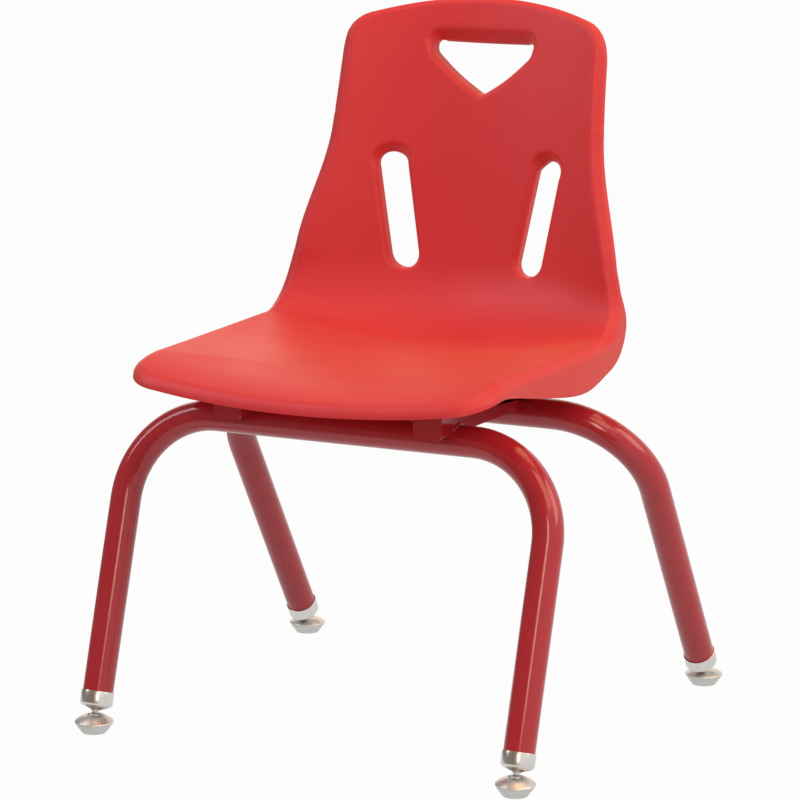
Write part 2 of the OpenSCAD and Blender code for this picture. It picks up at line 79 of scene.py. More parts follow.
def length(name, description, mm):
    """A length property whose default is given in millimetres."""
    return bpy.props.FloatProperty(
        name=name, description=description, default=mm / MM_PER_M, unit="LENGTH", precision=4)


def angle(name, description, degrees):
    """An angle property whose default is given in degrees."""
    return bpy.props.FloatProperty(
        name=name, description=description, default=math.radians(degrees), subtype="ANGLE")


def colour(name, description, code):
    """A colour property whose default is an sRGB hex code."""
    return bpy.props.FloatVectorProperty(
        name=name, description=description, default=linear(code), subtype="COLOR", min=0.0, max=1.0)


class ShellSizes(bpy.types.PropertyGroup):
    """Sizes of the moulded shell, measured on its upper skin."""

    seat_h: length("Seat height", "Height of the seat's flat, carried on to the front edge", 306.5)
    seat_front_y: length("Front edge", "Place of the seat's front edge", -189)
    seat_fall: angle("Seat fall", "Angle by which the seat falls towards the back", 1)
    seat_run: length("Seat length", "From the front edge to the bend", 232)
    crease_v: length("Crease", "Distance of the seat's crease behind the front edge, at the sides", 46)
    crease_bow: length("Crease bow", "How much further back the crease lies in the middle", 38)
    crease_soft: length("Crease softness", "Length over which the crease is rounded", 1.5)
    crease_rise: length("Crease rise", "Height of the ridge along the crease, in the middle", 1.1)
    crease_run: length("Crease run", "Distance over which the ridge dies away", 22)
    front_fall: length("Front fall", "Drop of the front edge below the flat", 5.5)
    brow_run: length("Brow", "Length behind the front edge over which it turns down", 38)
    brow_fall: length("Brow fall", "Further drop of the front edge over that length", 5)
    seat_bend_r: length("Bend radius", "Radius of the bend from seat to back", 72)
    lower_lean: angle("Lower lean", "Lean of the lower back from upright", 7)
    lower_run: length("Lower back", "Length of the lower back above the bend", 70)
    upper_lean: angle("Upper lean", "Further lean that the upper back gains", 6.5)
    upper_run: length("Upper back", "Length of the upper back", 148.05)
    wall: length("Wall", "Thickness of the shell", 4.2)
    hip_gap: length("Hip place", "Distance of the hips ahead of the bend", 27)
    waist_rise: length("Waist place", "Distance of the waist above the lower back", 34)
    front_w: length("Front width", "Width of the flat at the front edge", 297)
    hip_w: length("Hip width", "Width of the flat at the hips", 309.6)
    bend_w: length("Bend width", "Width of the flat where the bend ends", 279.6)
    waist_w: length("Waist width", "Width of the flat at the waist", 232.6)
    top_w: length("Top width", "Width of the flat at the top", 220.8)
    front_crown: length("Front crown", "Rise of the sides over the middle at the front", 8)
    seat_crown: length("Seat crown", "Rise of the sides over the middle at the bend", 17)
    bend_crown: length("Bend crown", "How far the sides stand forward where the bend ends", 36)
    waist_crown: length("Waist crown", "How far the sides stand forward at the waist", 26)
    top_crown: length("Top crown", "How far the sides stand forward at the top", 23)
    top_arch: length("Top arch", "Drop of the top edge from the middle to the corners", 19)
    front_bow: length("Front bow", "Setback of the front edge at the corners", 5)
    front_roll: length("Front roll", "Radius of the roll along the front edge", 12.5)
    front_roll_run: length("Front roll run", "Length over which the front roll narrows", 75)
    side_roll: length("Side roll", "Radius of the roll along the sides of the seat", 4.3)
    back_roll: length("Back roll", "Radius of the roll round the back", 4)
    shoulder: length("Shoulder", "Straight slope in the middle of the roll, along the sides", 6.3)
    top_shoulder: length("Top shoulder", "Straight slope in the middle of the roll, along the top", 2.5)
    top_shoulder_run: length("Top shoulder run", "Length below the top where the shoulder narrows", 48)
    front_flange: length("Front flange", "Straight flange below the front roll", 0.3)
    corner_flange: length("Corner flange", "Straight flange in the front corners", 1)
    corner_flange_v: length("Corner flange place", "Distance of that flange behind the front edge", 24)
    knee_flange: length("Knee flange", "Straight flange a third of the way to the hips", 7.6)
    knee_flange_v: length("Knee flange place", "Distance of that flange behind the front edge", 66)
    side_flange: length("Side flange", "Straight flange past half-way to the hips", 16.4)
    side_flange_v: length("Side flange place", "Distance of that flange behind the front edge", 113)
    hip_flange: length("Hip flange", "Straight flange below the roll at the hips", 25.2)
    flange_gap: length("Hip flange place", "Distance of the deepest flange ahead of the bend", 48)
    turn_flange: length("Turn flange", "Straight flange just after the bend starts", 17)
    turn_flange_run: length("Turn flange place", "Distance of that flange into the bend", 8)
    bend_flange: length("Bend flange", "Straight flange half-way round the bend", 15.2)
    back_flange: length("Back flange", "Straight flange behind the roll round the back", 1.5)
    flange_fade: length("Flange fade", "Distance below the bend's end where the back's flange starts", 25)
    draft: angle("Draft", "Angle by which the flange opens outwards", 4)
    front_corner: length("Front corner length", "Length of the rounded front corners", 32)
    front_corner_w: length("Front corner width", "Width of the rounded front corners", 24)
    top_corner: length("Top corner", "Radius of the rounded top corners", 20)
    slot_w: length("Slot width", "Clear width of the slots", 25)
    slot_low_gap: length("Slot gap below", "Distance between the slots' lower end centres", 117)
    slot_high_gap: length("Slot gap above", "Distance between the slots' upper end centres", 144)
    slot_run: length("Slot length", "Distance between a slot's end centres", 75.5)
    slot_lip: length("Slot lip", "Depth of the lips round the slots", 12)
    slot_roll: length("Slot roll", "Radius of the roll round the slots", 4.5)
    slot_scoop: length("Slot scoop", "Reach of the scoop over the slots' upper ends", 10)
    handle_w: length("Handle width", "Width of the handle opening", 92)
    handle_h: length("Handle height", "Height of the handle opening", 45.5)
    handle_r: length("Handle corner", "Radius of the handle opening's corners", 8)
    handle_drop: length("Handle drop", "Distance from the top edge to the handle opening", 32.2)
    handle_bow: length("Handle bow", "Outward bow of the handle's lower sides", 1.5)
    handle_lip: length("Handle lip", "Depth of the lip round the handle opening", 17)
    handle_roll: length("Handle roll", "Radius of the roll round the handle opening", 5)
    handle_scoop: length("Handle scoop", "Reach of the scoop over the handle opening", 12)
    edge_round: length("Edge round", "Rounding of the shell's free edges", 1.1)
    boss_d: length("Boss diameter", "Diameter of the screw bosses", 16)
    boss_flare: length("Boss flare", "Flare of the bosses where they meet the seat", 4)
    mesh_step: length("Mesh step", "Spacing of the mesh on the skin", 5)


class FrameSizes(bpy.types.PropertyGroup):
    """Sizes of the bent tubes, the seat rails and the seat's fasteners."""

    tube_od: length("Tube diameter", "Outer diameter of the leg tubes", 25.4)
    tube_wall: length("Tube wall", "Wall of the leg tubes", 1.8)
    bend_r: length("Tube bend", "Bend radius on the tubes' centre line", 75)
    rail_w: length("Rail width", "Width of a seat rail", 25.4)
    rail_lap: length("Rail lap", "Depth of the rails' sides below the top of the tube", 6.5)
    fold_r: length("Fold radius", "Outer radius of the folds in the rails", 2.6)
    sheet_edge: length("Sheet edge", "Rounding of the rails' cut edges", 0.45)
    weld_r: length("Weld size", "Radius of the weld beads", 1.9)
    screw_d: length("Screw diameter", "Diameter of the seat screws", 5)
    head_d: length("Head diameter", "Diameter of the screw heads", 9.5)
    head_h: length("Head height", "Height of the screw heads", 3.5)
    socket_d: length("Socket size", "Size across the corners of the hexagon in the screw heads", 4.6)
    washer_t: length("Washer thickness", "Thickness of the washers", 1.2)
    washer_d: length("Washer diameter", "Outer diameter of the washers", 14)


class GlideSizes(bpy.types.PropertyGroup):
    """Sizes of a swivel glide, measured from the ball's centre or the floor."""

    base_r: length("Base radius", "Radius of a glide's base", 15.99)
    sole_r: length("Sole radius", "Radius of the flat under the sole", 10)
    rim_z: length("Rim height", "Height of the base's rim over the floor", 8.3)
    rim_t: length("Rim thickness", "Thickness of the base's rim", 1.2)
    dome_r: length("Dome seat", "Inner radius of the dome where it wraps the ball", 5.8)
    front_mouth: angle("Front mouth", "Angle from upright at which a front dome ends round the ball", 56)
    rear_mouth: angle("Rear mouth", "The same for a rear dome, whose leg leans more", 70)
    seat_angle: angle("Seat angle", "Angle from upright at which the dome's inside leaves the ball", 78)
    lip_t: length("Dome lip", "Thickness of the dome's lip round the ball", 0.7)
    pocket_r: length("Pocket radius", "Radius of the sole's pocket, and its depth below the centre", 7)
    ball_r: length("Ball radius", "Radius of the stud's ball", 5.5)
    neck_r: length("Neck radius", "Radius of the stud's neck", 2.4)
    collar_r: length("Collar radius", "Radius of the stud's collar", 3.5)
    collar_h: length("Collar height", "Height of the stud's collar", 1)
    ferrule_reach: length("Ferrule reach", "From the ball's centre to the ferrule", 7.2)
    ferrule_cone: length("Ferrule cone", "Depth of the ferrule's coned end", 4.6)
    ferrule_wall: length("Ferrule wall", "Length of the ferrule's straight wall", 11)
    ferrule_r: length("Ferrule radius", "Outer radius of the ferrule", 13.55)
    ferrule_bore: length("Ferrule bore", "Radius of the ferrule's bore", 12.75)
    shoulder: length("Shoulder", "Width and height of the ferrule's shoulder", 1.8)
    edge: length("Edge", "Rounding of the glides' small edges", 0.35)


class ChairColours(bpy.types.PropertyGroup):
    """Colours of the finishes."""

    shell: colour("Shell", "Red of the moulded shell", "#CF2B37")
    shell_warm: colour("Shell, warm", "Warmer red where the melt ran thin", "#D5323A")
    bloom: colour("Bloom", "Haze that the shell's stipple shows at a flat view", "#FFBE78")
    coat: colour("Powder coat", "Dark red of the frame's powder coat", "#AE2431")
    coat_thin: colour("Powder coat, thin", "Red where the coat is thinner", "#B62B37")
    nickel: colour("Nickel", "Warm grey of the nickel plate", "#D8D6D2")
    nickel_dull: colour("Nickel, dull", "Nickel where handling has dulled it", "#C6C3BE")
    zinc: colour("Zinc", "Pale grey of the zinc plate", "#C9C8C4")
    zinc_dark: colour("Zinc, dark", "Darker spangle of the zinc plate", "#BBBAB7")
    nylon: colour("Nylon", "Off-white of the moulded nylon", "#E4DECD")
    backdrop: colour("Backdrop", "White that the camera and the gloss see behind the chair", "#FFFFFF")
    floor: colour("Floor", "Paper of the floor, under the light", "#C6C6C6")
    # The drape's grey is a painted reflection: the drape glows with it at a fixed strength and is not lit
    drape: colour("Drape", "Warm grey cloth that the gloss sees above, ahead and on the left", "#8C857A")
    warm_light: colour("Warm light", "Light of the lamps above and behind", "#FFC498")
    key_light: colour("Key light", "Light of the lamp on the right in front", "#FFD4AE")
    soft_light: colour("Soft light", "Light of the lamps on the right and beside the camera", "#FFE4CC")
    cool_light: colour("Cool light", "Light of the lamps on the left", "#F4F4FF")


# Materials

# Sockets of a colour Mix node, which shares its names with the other kinds of Mix
MIX_A, MIX_B, MIX_RESULT = 6, 7, 2
# Range in which nearly all of a noise texture's values lie
NOISE_LOW, NOISE_HIGH = 0.3, 0.7


def add_node(tree, kind, inputs=None, **settings):
    """Adds a node with its settings. An input is a value, or an output socket to link from."""
    node = tree.nodes.new(kind)
    for key, value in settings.items():
        setattr(node, key, value)
    for key, value in (inputs or {}).items():
        if isinstance(value, bpy.types.NodeSocket):
            tree.links.new(value, node.inputs[key])
        else:
            node.inputs[key].default_value = value
    return node


def opaque(rgb):
    """A colour property with the alpha that a shader socket expects."""
    return (*rgb, 1.0)


def start_material(name):
    """An empty node material, with its tree, its output and its Object coordinates."""
    material = bpy.data.materials.new(name)
    material.use_nodes = True
    tree = material.node_tree
    tree.nodes.clear()
    output = add_node(tree, "ShaderNodeOutputMaterial")
    place = add_node(tree, "ShaderNodeTexCoord").outputs["Object"]
    return material, tree, output, place


def noise(tree, place, mm, detail):
    """A noise texture that repeats about every so many millimetres of Object coordinates."""
    return add_node(tree, "ShaderNodeTexNoise", {
        "Vector": place, "Scale": MM_PER_M / mm, "Detail": detail}).outputs["Fac"]


def shift(tree, factor, first, second):
    """A colour that goes from one colour property to another with a factor."""
    return add_node(tree, "ShaderNodeMix", {
        "Factor": factor, MIX_A: opaque(first), MIX_B: opaque(second),
    }, data_type="RGBA").outputs[MIX_RESULT]


def spread(tree, value, low, high, first=NOISE_LOW, last=NOISE_HIGH):
    """A value carried from the range first to last over to the range low to high."""
    return add_node(tree, "ShaderNodeMapRange", {
        "Value": value, "From Min": first, "From Max": last, "To Min": low, "To Max": high,
    }).outputs["Result"]


def relief(tree, height, strength, depth):
    """The surface's direction under a relief whose depth is in metres."""
    return add_node(tree, "ShaderNodeBump", {
        "Strength": strength, "Distance": depth, "Height": height}).outputs["Normal"]


def shade(tree, output, inputs):
    """Gives a material one principled shader."""
    shader = add_node(tree, "ShaderNodeBsdfPrincipled", inputs)
    tree.links.new(shader.outputs["BSDF"], output.inputs["Surface"])


def moulded_polypropylene(colours):
    """Polypropylene from an eroded mould: an even red with broad soft highlights and a fine stipple."""
    material, tree, output, place = start_material("moulded_polypropylene")
    # The melt's flow shifts the red a little over a hand's width
    red = shift(tree, noise(tree, place, 110, 2), colours.shell, colours.shell_warm)
    # Handling polishes the skin in soft patches
    rough = spread(tree, noise(tree, place, 45, 3), 0.46, 0.54)
    # The mould's stipple is about 0.3 mm; it is drawn at 1.3 mm so that it shows
    stipple = relief(tree, noise(tree, place, 1.3, 1), 0.22, 0.00012)
    shade(tree, output, {
        "Base Color": red, "Roughness": rough, "Normal": stipple, "IOR": 1.49,
        "Sheen Weight": 0.21, "Sheen Roughness": 0.5, "Sheen Tint": opaque(colours.bloom)})
    return material


def powder_coated_steel(colours):
    """Polyester powder baked on steel: a deep glossy red with a faint orange peel in its reflections."""
    material, tree, output, place = start_material("powder_coated_steel")
    # The sprayed coat varies in thickness over a few centimetres
    spray = noise(tree, place, 60, 2)
    red = shift(tree, spray, colours.coat, colours.coat_thin)
    rough = spread(tree, spray, 0.13, 0.18)
    # Orange peel: waves of about 2.5 mm, a few micrometres deep
    peel = relief(tree, noise(tree, place, 2.5, 1), 0.02, 0.0001)
    shade(tree, output, {"Base Color": red, "Roughness": rough, "Normal": peel, "IOR": 1.5})
    return material


def polished_nickel_plate(colours):
    """Nickel plate on pressed steel: bright on the ferrules, dulled to satin near the floor."""
    material, tree, output, place = start_material("polished_nickel_plate")
    patches = noise(tree, place, 5, 3)
    tone = shift(tree, patches, colours.nickel, colours.nickel_dull)
    # Wear from the floor reaches up the glide's base, and its edge wanders by a few millimetres
    height = add_node(tree, "ShaderNodeSeparateXYZ", {0: place}).outputs["Z"]
    wander = add_node(tree, "ShaderNodeMath", {
        0: patches, 1: 0.004, 2: height}, operation="MULTIPLY_ADD").outputs[0]
    rough = spread(tree, wander, 0.44, 0.26, 0.014, 0.026)
    # Fine scuffs from the floor and from packing, about 0.8 mm apart
    scuffs = relief(tree, noise(tree, place, 0.8, 2), 0.1, 0.00005)
    shade(tree, output, {"Base Color": tone, "Roughness": rough, "Normal": scuffs, "Metallic": 1.0})
    return material


def zinc_plated_steel(colours):
    """Zinc plate, left satin: a pale grey metal with a fine spangle."""
    material, tree, output, place = start_material("zinc_plated_steel")
    # Spangle grains of about 1.5 mm
    spangle = add_node(tree, "ShaderNodeTexVoronoi", {
        "Vector": place, "Scale": MM_PER_M / 1.5}).outputs["Distance"]
    tone = shift(tree, spangle, colours.zinc, colours.zinc_dark)
    rough = spread(tree, spangle, 0.42, 0.5, 0.0, 1.0)
    shade(tree, output, {"Base Color": tone, "Roughness": rough, "Metallic": 1.0})
    return material


def moulded_nylon(colours):
    """Natural nylon: an off-white, slightly waxy plastic with a faint mottle."""
    material, tree, output, place = start_material("moulded_nylon")
    mottle = noise(tree, place, 3, 2)
    rough = spread(tree, mottle, 0.42, 0.52)
    bumps = relief(tree, mottle, 0.1, 0.0001)
    shade(tree, output, {
        "Base Color": opaque(colours.nylon), "Roughness": rough, "Normal": bumps, "IOR": 1.53})
    return material


FINISHES = {
    "shell": moulded_polypropylene,
    "frame_coat": powder_coated_steel,
    "nickel": polished_nickel_plate,
    "zinc": zinc_plated_steel,
    "nylon": moulded_nylon,
}


def finish_of(slot):
    """The material of a slot, made on first use."""
    build = FINISHES[slot]
    return bpy.data.materials.get(build.__name__) or build(bpy.context.scene.chair_colours)


# Mesh helpers

# Distances in metres under which two points are one, an edge has no length, and two places are the same
MERGE_DIST, NO_LENGTH, SAME_PLACE = 1e-6, 1e-7, 1e-5
# Area in square metres from which a face with many corners is a sheet, shaded flat
SHEET_AREA = 5e-5
# Angles between faces from which shading creases, and from which two faces aren't one
CREASE_ANGLE, FACE_ANGLE = math.radians(40), math.radians(0.5)
# Angles from which the edges of turned pieces, of sheets, and of folds and cut walls are rounded
ROUND_ANGLE, SHEET_ANGLE, FOLD_ANGLE = math.radians(28), math.radians(50), math.radians(60)
# Steps round the ferrules and the glides' bases, and round the other round pieces
WIDE_STEPS, SMALL_STEPS = 72, 48


def add_piece(name, bm, body, slot, *nodes):
    """Makes a bmesh a smooth piece that rides on a body and stands for the named solids."""
    # A sheet's large face is shaded flat, so that the rounds beside it don't bend its light
    for face in bm.faces:
        face.smooth = len(face.verts) <= 4 or face.calc_area() < SHEET_AREA
    for edge in bm.edges:
        edge.smooth = edge.calc_face_angle(0.0) < CREASE_ANGLE
    mesh = bpy.data.meshes.new(name)
    bm.to_mesh(mesh)
    bm.free()
    mesh.materials.append(finish_of(slot))
    piece = bpy.data.objects.new(name, mesh)
    bpy.context.scene.collection.objects.link(piece)
    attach(piece, body)
    if nodes:
        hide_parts(*nodes)


def sharp_edges(bm, limit=ROUND_ANGLE):
    """The edges where two faces meet at more than the limit."""
    return [edge for edge in bm.edges if edge.calc_face_angle(0.0) > limit]


def round_edges(bm, edges, offset, segments=2):
    """Rounds the edges, as far as their faces have room."""
    bmesh.ops.bevel(
        bm, geom=edges, offset=offset, offset_type="OFFSET", affect="EDGES", segments=segments,
        profile=0.5, material=-1, clamp_overlap=True)


def arc(centre, radii, first, last, steps):
    """Points of a lathe's profile on an ellipse, between two angles from upright."""
    angles = [first + (last - first) * k / steps for k in range(steps + 1)]
    return [(centre[0] + radii[0] * math.sin(a), centre[1] + radii[1] * math.cos(a)) for a in angles]


def lathe(profile, steps=WIDE_STEPS, closed=True):
    """A bmesh of (radius, height) points spun about Z. An open profile ends on the axis."""
    bm = bmesh.new()
    verts = [bm.verts.new((radius, 0.0, height)) for radius, height in profile]
    pairs = list(zip(verts, verts[1:])) + ([(verts[-1], verts[0])] if closed else [])
    edges = [bm.edges.new(pair) for pair in pairs]
    bmesh.ops.spin(
        bm, geom=verts + edges, cent=(0, 0, 0), axis=(0, 0, 1), angle=2 * math.pi, steps=steps,
        use_merge=True)
    clean(bm)
    return bm


def clean(bm, dist=MERGE_DIST):
    """Merges points that are one, and turns all faces outwards."""
    bmesh.ops.remove_doubles(bm, verts=bm.verts[:], dist=dist)
    bmesh.ops.dissolve_degenerate(bm, edges=bm.edges[:], dist=NO_LENGTH)
    bmesh.ops.recalc_face_normals(bm, faces=bm.faces[:])


def join(bm, other, place):
    """Adds another bmesh's geometry at a place and frees it."""
    bmesh.ops.transform(other, matrix=place, verts=other.verts[:])
    mesh = bpy.data.meshes.new("joined")
    other.to_mesh(mesh)
    other.free()
    bm.from_mesh(mesh)
    bpy.data.meshes.remove(mesh)


def circle(bm, segments, radius, place):
    """Adds an open circle at a place, and gives its vertices and edges."""
    verts = bmesh.ops.create_circle(bm, segments=segments, radius=radius, matrix=place)["verts"]
    return verts, list(dict.fromkeys(edge for vert in verts for edge in vert.link_edges))


def sweep(bm, edges, move):
    """Extrudes edges by a move, and gives the new vertices and the new free edges."""
    made = bmesh.ops.extrude_edge_only(bm, edges=edges)["geom"]
    verts = [item for item in made if isinstance(item, bmesh.types.BMVert)]
    bmesh.ops.translate(bm, verts=verts, vec=move)
    return verts, [item for item in made if isinstance(item, bmesh.types.BMEdge) and item.is_boundary]


def merged_copy(node):
    """A bmesh of a solid's mesh, with its triangles merged into whole faces."""
    bm = bmesh.new()
    bm.from_mesh(frame["nodes"][node].data)
    bmesh.ops.remove_doubles(bm, verts=bm.verts[:], dist=MERGE_DIST)
    bmesh.ops.dissolve_limit(
        bm, angle_limit=FACE_ANGLE, verts=bm.verts[:], edges=bm.edges[:], use_dissolve_boundaries=False)
    return bm


def corner_places(node, inset):
    """The (x, y) places at the four corners of a solid's box, by an inset from its sides."""
    low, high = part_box(node)
    return [(x, y) for x in (low.x + inset, high.x - inset) for y in (low.y + inset, high.y - inset)]


def ball_centre(foot):
    """Centre of a foot's ball joint."""
    return Vector(next(j["pos_m"] for j in frame["joints"] if j["name"] == f"{foot}_pitch"))


def tube_bar(end, size):
    """The y and z of a leg tube's crossbar, on its centre line."""
    low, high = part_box(f"{end}_leg_tube")
    radius = size.tube_od / 2
    return (high.y - radius if end == "front" else low.y + radius), high.z - radius


def leg_lean(end, size):
    """Angle of a tube's plane from upright, about X, and its height from the ball to the crossbar."""
    bar_y, bar_z = tube_bar(end, size)
    ball = ball_centre(f"{end}_left")
    return math.atan2(bar_y - ball.y, bar_z - ball.z), math.hypot(bar_y - ball.y, bar_z - ball.z)


# Moulded shell

def blend(stations, v):
    """Smooth curve through (v, value) stations, without overshoot."""
    v = min(max(v, stations[0][0]), stations[-1][0])
    grades = [(b[1] - a[1]) / (b[0] - a[0]) for a, b in zip(stations, stations[1:])]
    i = next((k for k in range(len(grades)) if v < stations[k + 1][0]), len(grades) - 1)

    def tangent(k):
        if k in (0, len(grades)):
            return grades[min(k, len(grades) - 1)]
        before, after = grades[k - 1], grades[k]
        return 0.0 if before * after <= 0 else 2 * before * after / (before + after)

    (start, low), (end, high) = stations[i], stations[i + 1]
    t = (v - start) / (end - start)
    swing = tangent(i) * (1 - t) - tangent(i + 1) * t
    return low + (high - low) * t * t * (3 - 2 * t) + (end - start) * t * (1 - t) * swing


def ease(t):
    """Smooth step from 0 to 1."""
    t = min(max(t, 0.0), 1.0)
    return t * t * (3 - 2 * t)


def steps_over(distance, step):
    """Shares from 0 up to 1, without 1, that cut a distance into steps of about one size."""
    count = max(2, math.ceil(distance / step))
    return [k / count for k in range(count)]


class ShellForm:
    """The shell's upper skin: u runs across it and v along it, from the front edge up the back."""

    # Distance in metres to each side over which the skin's directions are taken
    NUDGE = 0.0005
    # Rounds in which the top edge's slope at its corners settles
    SLOPE_ROUNDS = 4

    def __init__(self, size):
        self.size = size
        turn = math.pi / 2 - size.lower_lean + size.seat_fall
        bend_run = size.seat_bend_r * turn
        self.bend_end = size.seat_run + bend_run
        self.top_v = self.bend_end + size.lower_run + size.upper_run
        self.runs = (
            (size.seat_run, 0.0), (bend_run, turn), (size.lower_run, 0.0),
            (size.upper_run, -size.upper_lean))
        hip_v = size.seat_run - size.hip_gap
        waist_v = self.bend_end + size.lower_run + size.waist_rise
        self.halves = (
            (0.0, size.front_w / 2), (hip_v, size.hip_w / 2), (self.bend_end, size.bend_w / 2),
            (waist_v, size.waist_w / 2), (self.top_v, size.top_w / 2))
        self.crowns = (
            (0.0, size.front_crown), (size.seat_run, size.seat_crown), (self.bend_end, size.bend_crown),
            (waist_v, size.waist_crown), (self.top_v, size.top_crown))
        self.rolls = (
            (0.0, size.front_roll), (size.front_roll_run, size.side_roll), (self.bend_end, size.back_roll),
            (self.top_v, size.back_roll))
        self.shoulders = (
            (0.0, 0.0), (size.front_roll_run, size.shoulder),
            (self.top_v - size.top_shoulder_run, size.shoulder),
            (self.top_v - size.top_arch, size.top_shoulder), (self.top_v, size.top_shoulder))
        deepest = size.seat_run - size.flange_gap
        self.flanges = (
            (0.0, size.front_flange), (size.corner_flange_v, size.corner_flange),
            (size.knee_flange_v, size.knee_flange), (size.side_flange_v, size.side_flange),
            (deepest, size.hip_flange), (size.seat_run + size.turn_flange_run, size.turn_flange),
            (size.seat_run + bend_run / 2, size.bend_flange),
            (self.bend_end - size.flange_fade, size.back_flange), (self.top_v, size.back_flange))

    def profile(self, v):
        """The centre line's y, z and heading at a distance from the front edge."""
        y, z, heading = self.size.seat_front_y, self.size.seat_h, -self.size.seat_fall
        for i, (run, turn) in enumerate(self.runs):
            step = min(v, run) if i < len(self.runs) - 1 else v
            ahead = heading + turn * step / run
            if turn:
                radius = run / turn
                y += radius * (math.sin(ahead) - math.sin(heading))
                z -= radius * (math.cos(ahead) - math.cos(heading))
            else:
                y += step * math.cos(heading)
                z += step * math.sin(heading)
            heading = ahead
            v -= step
            if v <= 0:
                break
        return y, z, heading

    def half(self, v):
        """Half the width of the flat."""
        return blend(self.halves, v)

    def fall(self, u, v):
        """Drop towards the front edge: a slope from the crease, less its ridge, and a brow at the roll."""
        size = self.size
        inset = 1 - (u / self.half(v)) ** 2
        ahead = size.crease_v + size.crease_bow * inset - v
        ridge = size.crease_rise * inset * math.exp(-math.hypot(ahead, size.crease_soft) / size.crease_run)
        brow = max(0.0, 1 - v / size.brow_run)

        def slope(d):
            return math.hypot(d, size.crease_soft) + d
        return size.front_fall * slope(ahead) / slope(ahead + v) + size.brow_fall * brow * brow - ridge

    def skin(self, u, v):
        """A point of the upper skin."""
        y, z, heading = self.profile(v)
        rise = blend(self.crowns, v) * (u / self.half(v)) ** 2 - self.fall(u, v)
        return Vector((u, y - rise * math.sin(heading), z + rise * math.cos(heading)))

    def across(self, u, v):
        """Direction on the skin in which u grows."""
        return (self.skin(u + self.NUDGE, v) - self.skin(u - self.NUDGE, v)).normalized()

    def along(self, u, v):
        """Direction on the skin in which v grows."""
        return (self.skin(u, v + self.NUDGE) - self.skin(u, v - self.NUDGE)).normalized()

    def top_slope(self):
        """Slope of the top edge where it runs into a corner's arc, found in a few rounds."""
        size, slope = self.size, 0.0
        side = self.half(self.top_v - size.top_arch - size.top_corner)
        for _ in range(self.SLOPE_ROUNDS):
            slope = math.atan2(2 * size.top_arch, side - size.top_corner * (1 - math.sin(slope)))
        return slope

    def outline(self):
        """The flat's outline as (u, v) points, counter-clockwise from the middle of the front."""
        size, step = self.size, self.size.mesh_step
        front_half = self.half(size.front_corner) - size.front_corner_w
        slope = self.top_slope()
        top_start = self.top_v - size.top_arch - size.top_corner * math.cos(slope)
        top_centre = self.half(top_start) - size.top_corner
        top_half = top_centre + size.top_corner * math.sin(slope)
        depth = size.front_corner - size.front_bow
        points = [(front_half * t, size.front_bow * t * t) for t in steps_over(front_half, step)]
        for t in steps_over(math.pi / 2 * size.front_corner_w, step):
            a = t * math.pi / 2
            points.append((front_half + size.front_corner_w * math.sin(a),
                           size.front_bow + depth * (1 - math.cos(a))))
        for t in steps_over(top_start - size.front_corner, step):
            v = size.front_corner + (top_start - size.front_corner) * t
            points.append((self.half(v), v))
        for t in steps_over((math.pi / 2 - slope) * size.top_corner, step):
            a = t * (math.pi / 2 - slope)
            points.append((top_centre + size.top_corner * math.cos(a),
                           top_start + size.top_corner * math.sin(a)))
        for t in steps_over(top_half, step):
            points.append((top_half * (1 - t), self.top_v - size.top_arch * (1 - t) ** 2))
        points.append((0.0, self.top_v))
        mirrored = [(-u, v) for u, v in points[-2:0:-1]]
        return [Vector(point) for point in points + mirrored]

    def rim(self, flat, outward):
        """The rolled edge at an outline point of the flat."""
        u, v = flat
        out = (self.across(u, v) * outward.x + self.along(u, v) * outward.y).normalized()
        heading = self.profile(v)[2]
        away = Vector((0.0, math.sin(heading), -math.cos(heading)))
        level = (out - away * out.dot(away)).normalized()
        down = away * math.cos(self.size.draft) + level * math.sin(self.size.draft)
        radius, shoulder = blend(self.rolls, v), blend(self.shoulders, v)
        return RolledEdge(self.skin(u, v), out, down, radius, shoulder, blend(self.flanges, v))


class RolledEdge:
    """One place on an edge that rolls out of the skin and ends in a straight flange.

    A scoop is a straight slope in the middle of the roll.
    """

    def __init__(self, start, out, down, radius, scoop, flange):
        self.start, self.out, self.down = start, out, down
        self.radius, self.scoop, self.flange = radius, scoop, flange
        self.turn = out.angle(down)
        self.inward = (down - out * out.dot(down)).normalized()

    def at(self, share):
        """The point at a share of the roll, from 0 to 1, or of the flange after it, from 1 to 2."""
        curve = self.turn * self.radius
        run = min(share, 1.0) * (curve + self.scoop)
        slid = min(max(run - curve / 2, 0.0), self.scoop)
        swept = (run - slid) / self.radius
        roll = self.out * math.sin(swept) + self.inward * (1 - math.cos(swept))
        slope = self.out * math.cos(self.turn / 2) + self.inward * math.sin(self.turn / 2)
        straight = self.down * self.flange * max(share - 1.0, 0.0)
        return self.start + roll * self.radius + slope * slid + straight


